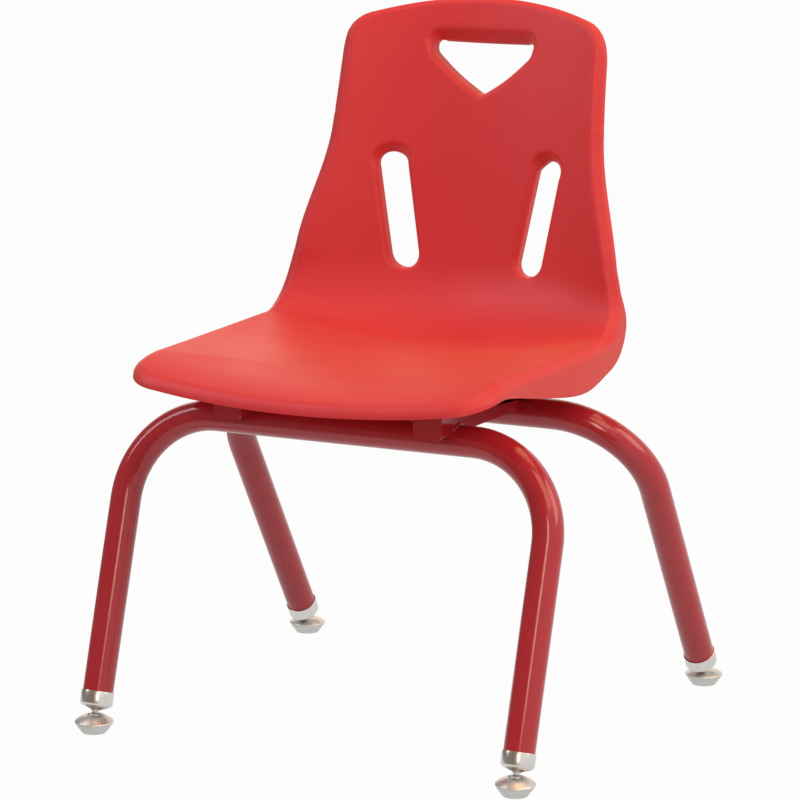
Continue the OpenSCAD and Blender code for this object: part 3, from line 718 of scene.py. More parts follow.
class Opening:
    """An opening through the back, drawn in its own frame between two places on the skin.

    Its lip runs level to the back, which is the way that the mould draws.
    """

    AWAY = Vector((0.0, 1.0, 0.0))
    # How far the outline faces up, from -1 to 1, where the scoop starts and where it is full
    SCOOP_START, SCOOP_FULL = -0.2, 0.9

    def __init__(self, form, low, high, centres, radius, roll, scoop, lip, bow=0.0):
        self.form, self.radius, self.bow = form, radius, bow
        self.roll, self.scoop, self.lip = roll, scoop, lip
        self.centres = [Vector(centre) for centre in centres]
        self.middle = (Vector(low) + Vector(high)) / 2
        self.up = (Vector(high) - Vector(low)).normalized()
        self.side = Vector((self.up.y, -self.up.x))
        self.track = []

    def reach(self, outward):
        """Distance from the clear opening to the skin where the outline faces outward: more on top."""
        facing = (outward.dot(self.up) - self.SCOOP_START) / (self.SCOOP_FULL - self.SCOOP_START)
        return self.roll + (self.scoop - self.roll) * ease(facing)

    def loop(self, step):
        """Where the roll leaves the skin, as (u, v) points, counter-clockwise."""
        self.track = []
        for i, centre in enumerate(self.centres):
            ahead = self.centres[(i + 1) % len(self.centres)] - centre
            behind = centre - self.centres[i - 1]
            first = math.atan2(-behind.x, behind.y)
            turn = (math.atan2(-ahead.x, ahead.y) - first) % (2 * math.pi)
            for t in steps_over(self.radius * turn, step / 2):
                a = first + turn * t
                self.mark(centre, Vector((math.cos(a), math.sin(a))), 0.0)
            normal = Vector((ahead.y, -ahead.x)).normalized()
            for t in steps_over(ahead.length, step):
                self.mark(centre + ahead * t, normal, self.bow * math.sin(math.pi * t))
        return [outer for outer, _ in self.track]

    def mark(self, point, normal, swell):
        """Notes a point of the loop on the skin, and the point of the clear opening that it rolls to."""
        outward = self.side * normal.x + self.up * normal.y
        away = self.radius + (swell if normal.y < 0 else 0.0)
        clear = self.middle + self.side * point.x + self.up * point.y + outward * away
        self.track.append((clear + outward * self.reach(outward), clear))

    def rim(self, flat, _):
        """The rolled edge at a point of the loop, towards the point of the clear opening beside it."""
        def nearest(pair):
            (start, _), (end, _) = pair
            run = end - start
            share = min(max((flat - start).dot(run) / run.length_squared, 0.0), 1.0)
            return (start + run * share - flat).length, share
        pair = min(zip(self.track, self.track[1:] + self.track[:1]), key=lambda pair: nearest(pair)[0])
        ahead = pair[0][1].lerp(pair[1][1], nearest(pair)[1]) - flat
        reach = ahead.length
        into = (self.form.across(*flat) * ahead.x + self.form.along(*flat) * ahead.y).normalized()
        turn = into.angle(self.AWAY)
        scoop = max(0.0, (reach - self.roll * math.sin(turn)) / math.cos(turn / 2))
        return RolledEdge(self.form.skin(*flat), into, self.AWAY, self.roll, scoop, self.lip - reach)


def back_openings(form):
    """The handle opening and the two slots."""
    size = form.size
    top = form.top_v - size.handle_drop
    corner_x, corner_y = size.handle_w / 2 - size.handle_r, size.handle_h / 2 - size.handle_r
    openings = [Opening(
        form, (0.0, top - size.handle_h), (0.0, top),
        [(0.0, -corner_y), (corner_x, corner_y), (-corner_x, corner_y)],
        size.handle_r, size.handle_roll, size.handle_scoop, size.handle_lip, size.handle_bow)]
    for side in (-1, 1):
        openings.append(Opening(
            form, (side * size.slot_low_gap / 2, form.bend_end),
            (side * size.slot_high_gap / 2, form.bend_end + size.slot_run),
            [(0.0, -size.slot_run / 2), (0.0, size.slot_run / 2)],
            size.slot_w / 2, size.slot_roll, size.slot_scoop, size.slot_lip))
    return openings


def add_loop(bm, points):
    """Adds a closed loop of flat points as vertices and edges."""
    verts = [bm.verts.new((point.x, point.y, 0.0)) for point in points]
    for pair in zip(verts, verts[1:] + verts[:1]):
        bm.edges.new(pair)


# Shares of a mesh step within which an edge lies on the grid, and points of the flat are merged
ON_GRID, MERGE_SHARE = 1e-3, 1 / 12


def cut_to_grid(bm, step):
    """Cuts the flat into squares of one step, and leaves only the squares' edges and the outlines."""
    for axis in (0, 1):
        places = [vert.co[axis] for vert in bm.verts]
        for k in range(math.ceil(min(places) / step), math.floor(max(places) / step) + 1):
            normal = Vector((axis == 0, axis == 1, 0))
            geom = bm.verts[:] + bm.edges[:] + bm.faces[:]
            bmesh.ops.bisect_plane(
                bm, geom=geom, dist=MERGE_DIST, plane_co=normal * k * step, plane_no=normal)

    def on_grid(edge):
        for axis in (0, 1):
            a, b = (vert.co[axis] / step for vert in edge.verts)
            if abs(a - b) < ON_GRID and abs(a - round(a)) < ON_GRID:
                return True
        return False

    loose = [edge for edge in bm.edges if not edge.is_boundary and not on_grid(edge)]
    bmesh.ops.dissolve_edges(bm, edges=loose, use_verts=False)
    spare = [vert for vert in bm.verts if len(vert.link_edges) == 2 and not vert.is_boundary]
    bmesh.ops.dissolve_verts(bm, verts=spare)
    bmesh.ops.remove_doubles(bm, verts=bm.verts[:], dist=step * MERGE_SHARE)


def boundary_rings(bm):
    """The flat's outlines as rings of vertices, counter-clockwise, the longest first."""
    rings, seen = [], set()
    for first in bm.verts:
        if not first.is_boundary or first in seen:
            continue
        ring, vert = [], first
        while vert is not None:
            ring.append(vert)
            seen.add(vert)
            ahead = [edge.other_vert(vert) for edge in vert.link_edges if edge.is_boundary]
            vert = next((other for other in ahead if other not in seen), None)
        area = sum(a.co.x * b.co.y - b.co.x * a.co.y for a, b in zip(ring, ring[1:] + ring[:1]))
        rings.append(ring if area > 0 else ring[::-1])
    return sorted(rings, key=len, reverse=True)


def outward_normals(flats, reach):
    """Outward directions along a counter-clockwise loop of flat points, smoothed over a reach."""
    count = len(flats)
    gaps = [(flats[(i + 1) % count] - flats[i]).length for i in range(count)]

    def walk(i, way):
        left, at = reach, flats[i]
        while True:
            gap = gaps[i] if way > 0 else gaps[i - 1]
            i = (i + way) % count
            if gap >= left:
                return at.lerp(flats[i], left / gap)
            left -= gap
            at = flats[i]

    normals = []
    for i in range(count):
        tangent = walk(i, 1) - walk(i, -1)
        normals.append(Vector((tangent.y, -tangent.x)).normalized())
    return normals


def roll_edge(bm, ring, rims, shares):
    """Extrudes a ring of boundary vertices along its rolled edge, one row of faces for each share."""
    for share in shares:
        edges = [bm.edges.get(pair) for pair in zip(ring, ring[1:] + ring[:1])]
        made = bmesh.ops.extrude_edge_only(bm, edges=edges)["geom"]
        fresh = {item for item in made if isinstance(item, bmesh.types.BMVert)}
        ring = [next(e.other_vert(v) for e in v.link_edges if e.other_vert(v) in fresh) for v in ring]
        for vert, rim in zip(ring, rims):
            vert.co = rim.at(share)


def thicken(bm, wall):
    """Gives an open sheet a wall: a copy behind it along the normals, joined at the free edges."""
    bm.normal_update()
    front, free = bm.verts[:], [edge for edge in bm.edges if edge.is_boundary]
    made = bmesh.ops.duplicate(bm, geom=bm.verts[:] + bm.edges[:] + bm.faces[:])
    behind = made["vert_map"]
    for vert in front:
        behind[vert].co = vert.co - vert.normal * wall
    for edge in free:
        a, b = edge.verts
        bm.faces.new((a, b, behind[b], behind[a]))
    bmesh.ops.recalc_face_normals(bm, faces=bm.faces[:])


# Steps of a boss's flare
FLARE_STEPS = 6
# Shares of the rolled edges at which the mesh has a row: along the roll, then along the flange
ROLL_ROWS = [k / 12 for k in range(1, 13)]
FLANGE_ROWS = [1 + k / 4 for k in range(1, 5)]


def shell_mesh(size):
    """The shell: a flat cut from its outline, bent to the skin, rolled at its edges and given a wall."""
    form = ShellForm(size)
    openings = back_openings(form)
    bm = bmesh.new()
    add_loop(bm, form.outline())
    for opening in openings:
        add_loop(bm, opening.loop(size.mesh_step))
    bmesh.ops.triangle_fill(bm, edges=bm.edges[:], use_beauty=True, normal=(0, 0, 1))
    cut_to_grid(bm, size.mesh_step)
    edges = []
    for ring in boundary_rings(bm):
        flats = [vert.co.xy for vert in ring]
        middle = sum(flats, Vector((0.0, 0.0))) / len(flats)
        shape = min(openings, key=lambda opening: (opening.middle - middle).length) if edges else form
        normals = outward_normals(flats, size.mesh_step)
        edges.append((ring, [shape.rim(flat, normal) for flat, normal in zip(flats, normals)]))
    for vert in bm.verts:
        vert.co = form.skin(vert.co.x, vert.co.y)
    for ring, rims in edges:
        roll_edge(bm, ring, rims, ROLL_ROWS + FLANGE_ROWS)
    bmesh.ops.recalc_face_normals(bm, faces=bm.faces[:])
    middle = form.skin(0.0, size.seat_run / 2)
    seat = min(bm.faces, key=lambda face: (face.calc_center_median() - middle).length)
    if seat.normal.z < 0:
        bmesh.ops.reverse_faces(bm, faces=bm.faces[:])
    thicken(bm, size.wall)
    round_edges(bm, sharp_edges(bm, FOLD_ANGLE), size.edge_round, segments=3)
    return bm


def boss_mesh(size):
    """The four bosses under the seat that the screws bite into, with flared roots."""
    form = ShellForm(size)
    rail_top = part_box("left_seat_rail")[1].z
    radius, flare = size.boss_d / 2, size.boss_flare
    bm = bmesh.new()
    for x, y in corner_places("seat_screws", bpy.context.scene.chair_frame.head_d / 2):
        top = form.skin(x, (y - size.seat_front_y) / math.cos(size.seat_fall)).z - size.wall / 2
        root = (radius + flare, top - size.wall / 2 - flare)
        profile = [
            (0.0, rail_top), (radius, rail_top),
            *arc(root, (flare, flare), -math.pi / 2, 0.0, FLARE_STEPS),
            (radius + flare, top), (0.0, top)]
        join(bm, lathe(profile, SMALL_STEPS, closed=False), Matrix.Translation((x, y, 0.0)))
    return bm


# Frame

# Steps round a tube's bend
BEND_STEPS = 24
# Share of the way round the tube to the end of a rail's side that a weld bead covers
BEAD_SHARE = 0.8
# Steps along a bead and round it, its ripples, and their height as a share of its radius
BEAD_STEPS, BEAD_SIDES, BEAD_RIPPLES, RIPPLE_SHARE = 40, 12, 9, 0.09
# How blunt a bead's ends are: 2 is round
BEAD_BLUNT = 4
# Shares of a screw head: the radius of its flat, the height of its round and the depth of its socket
HEAD_FLAT, HEAD_ROUND, SOCKET_DEPTH = 0.62, 0.75, 0.55
# Sides of the socket, and steps of the head's round
SOCKET_SIDES, HEAD_STEPS = 6, 8
# Clearance in metres between a washer and its screw, and the washer's rounding as a share of its height
WASHER_FIT, WASHER_ROUND = 0.0001, 1 / 5


def tube_mesh(end, size, glide):
    """A leg tube: half a crossbar, its bend and its leg swept from one circle, then mirrored."""
    lean, drop = leg_lean(end, size)
    bar_y, bar_z = tube_bar(end, size)
    bar_half = ball_centre(f"{end}_right").x - size.bend_r
    leg_run = drop - size.bend_r - glide.ferrule_reach - glide.ferrule_cone
    bm = bmesh.new()
    _, edges = circle(bm, SMALL_STEPS, size.tube_od / 2, Matrix.Rotation(math.pi / 2, 4, "Y"))
    ring, edges = sweep(bm, edges, (bar_half, 0.0, 0.0))
    spun = bmesh.ops.spin(
        bm, geom=ring + edges, cent=(bar_half, 0.0, -size.bend_r), axis=(0, 1, 0), angle=math.pi / 2,
        steps=BEND_STEPS)["geom_last"]
    sweep(bm, [item for item in spun if isinstance(item, bmesh.types.BMEdge)], (0.0, 0.0, -leg_run))
    bmesh.ops.mirror(
        bm, geom=bm.verts[:] + bm.edges[:] + bm.faces[:], merge_dist=MERGE_DIST, axis="X")
    clean(bm)
    placed = Matrix.Translation((0.0, bar_y, bar_z)) @ Matrix.Rotation(-lean, 4, "X")
    bmesh.ops.transform(bm, matrix=placed, verts=bm.verts[:])
    bmesh.ops.solidify(bm, geom=bm.faces[:], thickness=size.tube_wall)
    return bm


def rail_mesh(node, size):
    """A formed rail: its folds along the top are rounded wide, and its cut edges a little."""
    bm = merged_copy(node)
    top = max(vert.co.z for vert in bm.verts)
    folds = [edge for edge in sharp_edges(bm, FOLD_ANGLE)
             if edge.is_convex and all(abs(vert.co.z - top) < SAME_PLACE for vert in edge.verts)
             and edge.calc_length() > size.rail_w / 2]
    round_edges(bm, folds, size.fold_r, segments=4)
    round_edges(bm, sharp_edges(bm, SHEET_ANGLE), size.sheet_edge)
    return bm


def weld_mesh(size):
    """Weld beads round the front tube, beside each rail."""
    bm = bmesh.new()
    tube_r = size.tube_od / 2
    bar_y, bar_z = tube_bar("front", size)
    reach = math.acos(1 - size.rail_lap / tube_r) * BEAD_SHARE
    for side in ("left", "right"):
        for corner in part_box(f"{side}_seat_rail"):
            place = Matrix.Translation((corner.x, bar_y, bar_z)) @ Matrix.Rotation(reach, 4, "X")
            join(bm, bead_mesh(size.weld_r, tube_r, 2 * reach), place)
    return bm


def bead_mesh(radius, bend_r, turn):
    """A rippled bead swept about X from above, closed at both ends."""
    bm = bmesh.new()
    above = Matrix.Translation((0.0, 0.0, bend_r)) @ Matrix.Rotation(math.pi / 2, 4, "X")
    verts, edges = circle(bm, BEAD_SIDES, radius, above)
    bmesh.ops.spin(
        bm, geom=verts + edges, cent=(0, 0, 0), axis=(1, 0, 0), angle=-turn, steps=BEAD_STEPS)
    for vert in bm.verts:
        share = math.atan2(vert.co.y, vert.co.z) / turn
        middle = Vector((0.0, math.sin(share * turn), math.cos(share * turn))) * bend_r
        end = math.sqrt(max(0.0, 1 - (2 * share - 1) ** BEAD_BLUNT))
        ripple = 1 + RIPPLE_SHARE * math.sin(share * BEAD_RIPPLES * 2 * math.pi)
        vert.co = middle + (vert.co - middle) * end * ripple
    clean(bm, SAME_PLACE)
    return bm


def screw_mesh(size):
    """Pan-head screws with a hexagon socket, seen from below."""
    bm = bmesh.new()
    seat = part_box("screw_washers")[0].z
    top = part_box("seat_screws")[1].z - seat
    head_r, shank_r = size.head_d / 2, size.screw_d / 2
    flat_r, round_h = head_r * HEAD_FLAT, size.head_h * HEAD_ROUND
    profile = [
        *arc((flat_r, round_h - size.head_h), (head_r - flat_r, -round_h), 0.0, math.pi / 2, HEAD_STEPS),
        (head_r, 0.0), (shank_r, 0.0), (shank_r, top - shank_r), (0.0, top)]
    for x, y in corner_places("screw_washers", size.washer_d / 2):
        screw = lathe(profile, SMALL_STEPS, closed=False)
        rim = [edge for edge in screw.edges if edge.is_boundary]
        below = Matrix.Translation((0.0, 0.0, -size.head_h))
        _, socket = circle(screw, SOCKET_SIDES, size.socket_d / 2, below)
        bmesh.ops.bridge_loops(screw, edges=rim + socket)
        inner, _ = sweep(screw, socket, (0.0, 0.0, size.head_h * SOCKET_DEPTH))
        bmesh.ops.contextual_create(screw, geom=inner)
        bmesh.ops.recalc_face_normals(screw, faces=screw.faces[:])
        join(bm, screw, Matrix.Translation((x, y, seat)))
    return bm


def washer_mesh(size):
    """Flat washers with rounded edges."""
    bm = bmesh.new()
    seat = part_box("screw_washers")[0].z
    bore, rim, top = size.screw_d / 2 + WASHER_FIT, size.washer_d / 2, size.washer_t
    for x, y in corner_places("screw_washers", rim):
        washer = lathe([(bore, 0.0), (rim, 0.0), (rim, top), (bore, top)], SMALL_STEPS)
        round_edges(washer, sharp_edges(washer), top * WASHER_ROUND)
        join(bm, washer, Matrix.Translation((x, y, seat)))
    return bm


# Glides

# Clearance in metres between a ferrule and its stud
STUD_FIT = 0.00005
# Rounding of a ferrule's shoulder as a share of it, and of a stud's edges as a share of the glides' edge
SHOULDER_SHARE, STUD_SHARE = 0.45, 0.7
# Steps along a ball, a dome's slope and a dome's seat
BALL_STEPS, SLOPE_STEPS, SEAT_STEPS = 24, 14, 3
# How full a dome's slope is: 1 is a cone
SLOPE_POWER = 1.8


def ferrule_mesh(size):
    """A cup pressed over the tube's end, coned down to the stud; origin at the ball, +Z up the leg."""
    start = size.ferrule_reach
    end = start + size.ferrule_cone
    top = end + size.ferrule_wall
    hole = size.neck_r + STUD_FIT
    sheet = size.ferrule_r - size.ferrule_bore
    cone_r = size.ferrule_r - size.shoulder
    bm = lathe([
        (hole, start), (size.collar_r + sheet / 2, start), (cone_r, end - size.shoulder),
        (size.ferrule_r, end), (size.ferrule_r, top), (size.ferrule_bore, top),
        (size.ferrule_bore, end), (size.collar_r + size.shoulder, start + sheet), (hole, start + sheet)])
    shoulder = [edge for edge in sharp_edges(bm) if all(
        vert.co.xy.length > cone_r - SAME_PLACE and vert.co.z < top - size.edge for vert in edge.verts)]
    round_edges(bm, shoulder, size.shoulder * SHOULDER_SHARE, segments=3)
    round_edges(bm, sharp_edges(bm), size.edge)
    return bm


def stud_mesh(size):
    """The stud: a ball, a neck and a collar under the ferrule; origin at the ball, +Z up the leg."""
    neck_angle = math.asin(size.neck_r / size.ball_r)
    ball = arc((0.0, 0.0), (size.ball_r, size.ball_r), math.pi, neck_angle, BALL_STEPS)
    collar = size.ferrule_reach - size.collar_h
    top = size.ferrule_reach + size.ferrule_cone / 2
    bm = lathe([
        (0.0, -size.ball_r), *ball[1:], (size.neck_r, collar), (size.collar_r, collar),
        (size.collar_r, size.ferrule_reach), (size.neck_r, size.ferrule_reach),
        (size.neck_r, top), (0.0, top)], SMALL_STEPS, closed=False)
    ends = [edge for edge in sharp_edges(bm)
            if min(vert.co.z for vert in edge.verts) > collar - SAME_PLACE]
    round_edges(bm, ends, size.edge * STUD_SHARE)
    return bm


def dome_mesh(size, mouth, ball_z):
    """The pressed dome: a rounded rim, a full slope and a lip that leaves the neck room to swing."""
    rim_top = size.rim_z + size.rim_t
    crown_r = (size.dome_r + size.lip_t) * math.sin(mouth)
    crown_z = ball_z + (size.dome_r + size.lip_t) * math.cos(mouth)
    profile = [(size.base_r - 3 * size.edge, size.rim_z), (size.base_r, size.rim_z)]
    for k in range(SLOPE_STEPS + 1):
        share = k / SLOPE_STEPS
        rise = 1 - (1 - share) ** SLOPE_POWER
        profile.append((
            size.base_r + (crown_r - size.base_r) * share, rim_top + (crown_z - rim_top) * rise))
    seat = arc((0.0, ball_z), (size.dome_r, size.dome_r), mouth, size.seat_angle, SEAT_STEPS)
    bm = lathe([
        *profile, *seat, (size.dome_r + 2 * size.lip_t, seat[-1][1]),
        (size.base_r - 4 * size.edge, size.rim_z + size.edge)])
    round_edges(bm, sharp_edges(bm), size.edge)
    return bm


def sole_mesh(size, ball_z):
    """The sole: a dish under the dome, with a flat for the floor and a pocket for the liner."""
    skirt = size.base_r - 2 * size.edge
    pocket_z = ball_z - size.pocket_r
    bm = lathe([
        (0.0, 0.0), (size.sole_r, 0.0), (skirt, size.rim_z - 2.5 * size.edge), (skirt, size.rim_z),
        (size.pocket_r, size.rim_z), (size.pocket_r, pocket_z), (0.0, pocket_z)], closed=False)
    round_edges(bm, sharp_edges(bm), size.edge)
    return bm


# Operators

class CHAIR_OT_shell(bpy.types.Operator):
    """Moulds the seat and back in one shell, with the bosses under it"""

    bl_idname = "chair.shell"
    bl_label = "Moulded shell"

    def execute(self, context):
        size = context.scene.chair_shell
        add_piece("moulded_shell", shell_mesh(size), "frame", "shell", "seat_shell")
        add_piece("shell_bosses", boss_mesh(size), "frame", "shell")
        return {"FINISHED"}


class CHAIR_OT_leg_tubes(bpy.types.Operator):
    """Bends the front and rear leg tubes"""

    bl_idname = "chair.leg_tubes"
    bl_label = "Leg tubes"

    def execute(self, context):
        scene = context.scene
        for end in ("front", "rear"):
            bm = tube_mesh(end, scene.chair_frame, scene.chair_glides)
            add_piece(f"{end}_bent_tube", bm, "frame", "frame_coat", f"{end}_leg_tube")
        return {"FINISHED"}


class CHAIR_OT_seat_rails(bpy.types.Operator):
    """Forms the two seat rails, with the weld beads on the front tube"""

    bl_idname = "chair.seat_rails"
    bl_label = "Seat rails"

    def execute(self, context):
        size = context.scene.chair_frame
        for side in ("left", "right"):
            node = f"{side}_seat_rail"
            add_piece(f"{side}_formed_rail", rail_mesh(node, size), "frame", "frame_coat", node)
        add_piece("rail_weld_beads", weld_mesh(size), "frame", "frame_coat")
        return {"FINISHED"}


class CHAIR_OT_seat_fasteners(bpy.types.Operator):
    """Sets the screws and washers that hold the shell on the rails"""

    bl_idname = "chair.seat_fasteners"
    bl_label = "Seat fasteners"

    def execute(self, context):
        size = context.scene.chair_frame
        add_piece("socket_screws", screw_mesh(size), "frame", "zinc", "seat_screws")
        add_piece("flat_washers", washer_mesh(size), "frame", "zinc", "screw_washers")
        return {"FINISHED"}


class CHAIR_OT_glides(bpy.types.Operator):
    """Makes the four glides' ferrules, studs, domes and soles, and finishes their liners"""

    bl_idname = "chair.glides"
    bl_label = "Swivel glides"

    def execute(self, context):
        size = context.scene.chair_glides
        for foot in FEET:
            ball = ball_centre(foot)
            end = foot.split("_")[0]
            lean = leg_lean(end, context.scene.chair_frame)[0]
            mouth = size.front_mouth if end == "front" else size.rear_mouth
            on_leg = Matrix.Translation(ball) @ Matrix.Rotation(-lean, 4, "X")
            on_floor = Matrix.Translation((ball.x, ball.y, 0.0))
            dome, base = dome_mesh(size, mouth, ball.z), f"{foot}_foot"
            rows = (
                ("pressed_ferrule", ferrule_mesh(size), on_leg, "frame", "nickel", "ferrule"),
                ("ball_stud", stud_mesh(size), on_leg, "frame", "nickel", "stud"),
                ("pressed_dome", dome, on_floor, base, "nickel", "dome"),
                ("dished_sole", sole_mesh(size, ball.z), on_floor, base, "zinc", "sole"),
            )
            for name, bm, place, body, slot, node in rows:
                bmesh.ops.transform(bm, matrix=place, verts=bm.verts[:])
                add_piece(f"{foot}_{name}", bm, body, slot, f"{foot}_{node}")
            liner = frame["nodes"][f"{foot}_liner"].data.materials
            liner.clear()
            liner.append(finish_of("nylon"))
        return {"FINISHED"}


class CHAIR_OT_stage(bpy.types.Operator):
    """Sets the floor, the studio light and the camera"""

    bl_idname = "chair.stage"
    bl_label = "Studio stage"

    def execute(self, context):
        colours = context.scene.chair_colours
        lay_floor(context.scene)
        hang_drape(context.scene)
        light_world(context.scene)
        for name, tint, *sizes in LAMPS:
            soft_box(name, getattr(colours, tint), *sizes)
        # This lamp only fills the front's shade, so the gloss doesn't show it
        bpy.data.objects["front_fill"].visible_glossy = False
        place_camera(context.scene)
        context.scene.view_settings.view_transform = "Standard"
        return {"FINISHED"}


# Stage

# The camera that the photograph's perspective gives, in metres and degrees
CAMERA_PLACE = (1.3423, -2.6241, 0.8266)
CAMERA_TARGET = (0.0, 0.002, 0.250)
CAMERA_ROLL = 0.147
# Each lamp's name, colour, place, width and height in metres, and power in watts
LAMPS = (
    ("overhead_box", "warm_light", (0.3, 0.2, 2.2), 1.3, 1.3, 16.0),
    ("key_box", "key_light", (1.3, -0.85, 1.88), 1.05, 1.0, 12.0),
    ("left_box", "cool_light", (-1.39, -0.85, 1.62), 0.45, 1.7, 13.0),
    ("rear_box", "warm_light", (-1.0, 2.0, 0.95), 2.4, 1.4, 7.0),
    ("camera_box", "soft_light", (1.3, -2.4, 1.2), 0.5, 0.9, 13.0),
    ("right_box", "soft_light", (2.0, 0.4, 1.5), 1.3, 1.3, 20.0),
    ("front_fill", "cool_light", (-0.9, -2.2, 1.3), 1.3, 1.3, 4.0),
)
# Point that the lamps are aimed at
LAMP_TARGET = (0.0, 0.0, 0.3)
# Half the floor's width in metres, and the share of plain white in it where it is seen directly
FLOOR_HALF, FLOOR_WHITE = 40.0, 0.97
# Strength of the world's light on the chair, where it isn't seen directly
WORLD_FILL = 0.2
# The drape's radius, height, inner edge and height over the floor in metres
DRAPE_R, DRAPE_H, DRAPE_GAP, DRAPE_LIFT = 4.0, 3.5, 0.64, 0.001
# Angles from the front at which the drape starts and over which it runs, and its steps
DRAPE_FIRST, DRAPE_SWEEP, DRAPE_STEPS = math.radians(-120), math.radians(158), 48
# Focal length and the picture's middle in the photograph's pixels
FOCAL_PIXELS = 3617.3
MIDDLE_X, MIDDLE_Y = 406.55, 415.5


def seen_directly(tree):
    """1 where the camera, gloss or glass sees a surface, and 0 where it only sends light on."""
    path = add_node(tree, "ShaderNodeLightPath")
    seen = path.outputs["Is Camera Ray"]
    for name in ("Is Glossy Ray", "Is Transmission Ray"):
        seen = add_node(tree, "ShaderNodeMath", {
            0: seen, 1: path.outputs[name]}, operation="MAXIMUM").outputs[0]
    return seen


def set_stage(scene, name, bm, material):
    """Makes a bmesh a piece of the stage, which is no part of the chair."""
    mesh = bpy.data.meshes.new(name)
    bm.to_mesh(mesh)
    bm.free()
    mesh.materials.append(material)
    piece = bpy.data.objects.new(name, mesh)
    scene.collection.objects.link(piece)
    return piece


def lay_floor(scene):
    """A plain pale floor: white where it is seen, with the chair's soft shadow."""
    material, tree, output, _ = start_material("matte_paper")
    lit = add_node(tree, "ShaderNodeBsdfDiffuse", {"Color": opaque(scene.chair_colours.floor)})
    share = add_node(tree, "ShaderNodeMath", {
        0: seen_directly(tree), 1: FLOOR_WHITE}, operation="MULTIPLY")
    white = add_node(tree, "ShaderNodeEmission", {"Strength": 1.0})
    mixed = add_node(tree, "ShaderNodeMixShader", {
        0: share.outputs[0], 1: lit.outputs[0], 2: white.outputs[0]})
    tree.links.new(mixed.outputs[0], output.inputs["Surface"])
    bm = bmesh.new()
    bmesh.ops.create_grid(bm, x_segments=1, y_segments=1, size=FLOOR_HALF)
    set_stage(scene, "studio_floor", bm, material)


def hang_drape(scene):
    """A sheet above, in front and on the left that glows a fixed grey instead of being lit, which
    reflections see and nothing else: a painted reflection of a grey cloth.
    """
    material, tree, output, _ = start_material("grey_cloth")
    # Painted reflection: an emission of fixed strength stands in for lit grey cloth
    reflection_glow = add_node(tree, "ShaderNodeEmission", {
        "Color": opaque(scene.chair_colours.drape), "Strength": 1.0})
    tree.links.new(reflection_glow.outputs[0], output.inputs["Surface"])
    bm = bmesh.new()
    rows = ((DRAPE_GAP, DRAPE_LIFT), (DRAPE_R, DRAPE_LIFT), (DRAPE_R, DRAPE_H))
    verts = [bm.verts.new((r * math.sin(DRAPE_FIRST), -r * math.cos(DRAPE_FIRST), z)) for r, z in rows]
    edges = [bm.edges.new(pair) for pair in zip(verts, verts[1:])]
    bmesh.ops.spin(
        bm, geom=verts + edges, cent=(0, 0, 0), axis=(0, 0, 1), angle=DRAPE_SWEEP, steps=DRAPE_STEPS)
    above = Matrix.Translation((0.0, 0.0, DRAPE_H))
    bmesh.ops.create_circle(bm, cap_ends=True, segments=DRAPE_STEPS, radius=DRAPE_R, matrix=above)
    drape = set_stage(scene, "studio_drape", bm, material)
    drape.visible_camera = drape.visible_diffuse = drape.visible_shadow = False


def light_world(scene):
    """White to the camera and in reflections, and a dim even fill for everything else."""
    world = bpy.data.worlds.new("studio")
    scene.world = world
    world.use_nodes = True
    tree = world.node_tree
    tree.nodes.clear()
    output = add_node(tree, "ShaderNodeOutputWorld")
    strength = add_node(tree, "ShaderNodeMapRange", {
        "Value": seen_directly(tree), "To Min": WORLD_FILL, "To Max": 1.0})
    back = add_node(tree, "ShaderNodeBackground", {
        "Color": opaque(scene.chair_colours.backdrop), "Strength": strength.outputs["Result"]})
    tree.links.new(back.outputs[0], output.inputs["Surface"])


def soft_box(name, tint, place, width, height, watts):
    """A rectangular area lamp aimed at the middle of the chair."""
    lamp = bpy.data.lights.new(name, "AREA")
    lamp.shape = "RECTANGLE"
    lamp.size, lamp.size_y = width, height
    lamp.energy = watts
    lamp.color = tint
    box = bpy.data.objects.new(name, lamp)
    box.location = place
    box.visible_camera = False
    box.rotation_euler = (Vector(LAMP_TARGET) - Vector(place)).to_track_quat("-Z", "Y").to_euler()
    bpy.context.scene.collection.objects.link(box)


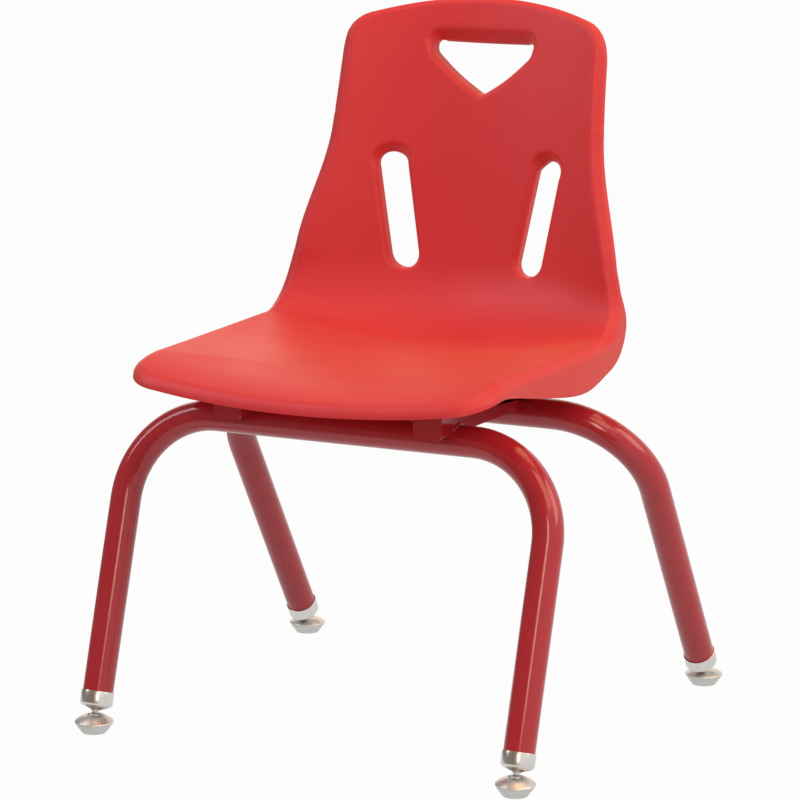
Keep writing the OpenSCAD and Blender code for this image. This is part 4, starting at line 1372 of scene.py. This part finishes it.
def place_camera(scene):
    """A camera at the photograph's place, with its field of view and framing."""
    lens = bpy.data.cameras.new("camera")
    lens.sensor_width = SENSOR_MM
    lens.lens = FOCAL_PIXELS * SENSOR_MM / PHOTO_PIXELS
    lens.shift_x = (PHOTO_PIXELS / 2 - MIDDLE_X) / PHOTO_PIXELS
    lens.shift_y = (MIDDLE_Y - PHOTO_PIXELS / 2) / PHOTO_PIXELS
    camera = bpy.data.objects.new("camera", lens)
    place = Vector(CAMERA_PLACE)
    facing = (Vector(CAMERA_TARGET) - place).to_track_quat("-Z", "Y").to_matrix().to_4x4()
    roll = Matrix.Rotation(math.radians(CAMERA_ROLL), 4, "Z")
    camera.matrix_world = Matrix.Translation(place) @ facing @ roll
    scene.collection.objects.link(camera)
    scene.camera = camera


# Panel and registration

OPERATORS = (
    CHAIR_OT_shell, CHAIR_OT_leg_tubes, CHAIR_OT_seat_rails, CHAIR_OT_seat_fasteners, CHAIR_OT_glides,
    CHAIR_OT_stage)
GROUPS = {
    "chair_shell": ShellSizes,
    "chair_frame": FrameSizes,
    "chair_glides": GlideSizes,
    "chair_colours": ChairColours,
}


class CHAIR_PT_sidebar(bpy.types.Panel):
    """Lists the chair's operators, sizes and colours"""

    bl_idname = "CHAIR_PT_sidebar"
    bl_label = "Preschool chair"
    bl_space_type = "VIEW_3D"
    bl_region_type = "UI"
    bl_category = "Chair"

    def draw(self, context):
        for operator in OPERATORS:
            self.layout.operator(operator.bl_idname)
        for name in GROUPS:
            box = self.layout.box()
            for key in GROUPS[name].__annotations__:
                box.prop(getattr(context.scene, name), key)


def register():
    for group in GROUPS.values():
        bpy.utils.register_class(group)
    for name, group in GROUPS.items():
        setattr(bpy.types.Scene, name, bpy.props.PointerProperty(type=group))
    for operator in OPERATORS:
        bpy.utils.register_class(operator)
    bpy.utils.register_class(CHAIR_PT_sidebar)


def unregister():
    bpy.utils.unregister_class(CHAIR_PT_sidebar)
    for operator in reversed(OPERATORS):
        bpy.utils.unregister_class(operator)
    for name, group in reversed(GROUPS.items()):
        delattr(bpy.types.Scene, name)
        bpy.utils.unregister_class(group)


def main():
    register()
    bpy.ops.chair.shell()
    bpy.ops.chair.leg_tubes()
    bpy.ops.chair.seat_rails()
    bpy.ops.chair.seat_fasteners()
    bpy.ops.chair.glides()
    bpy.ops.chair.stage()


if __name__ == "__main__":
    main()
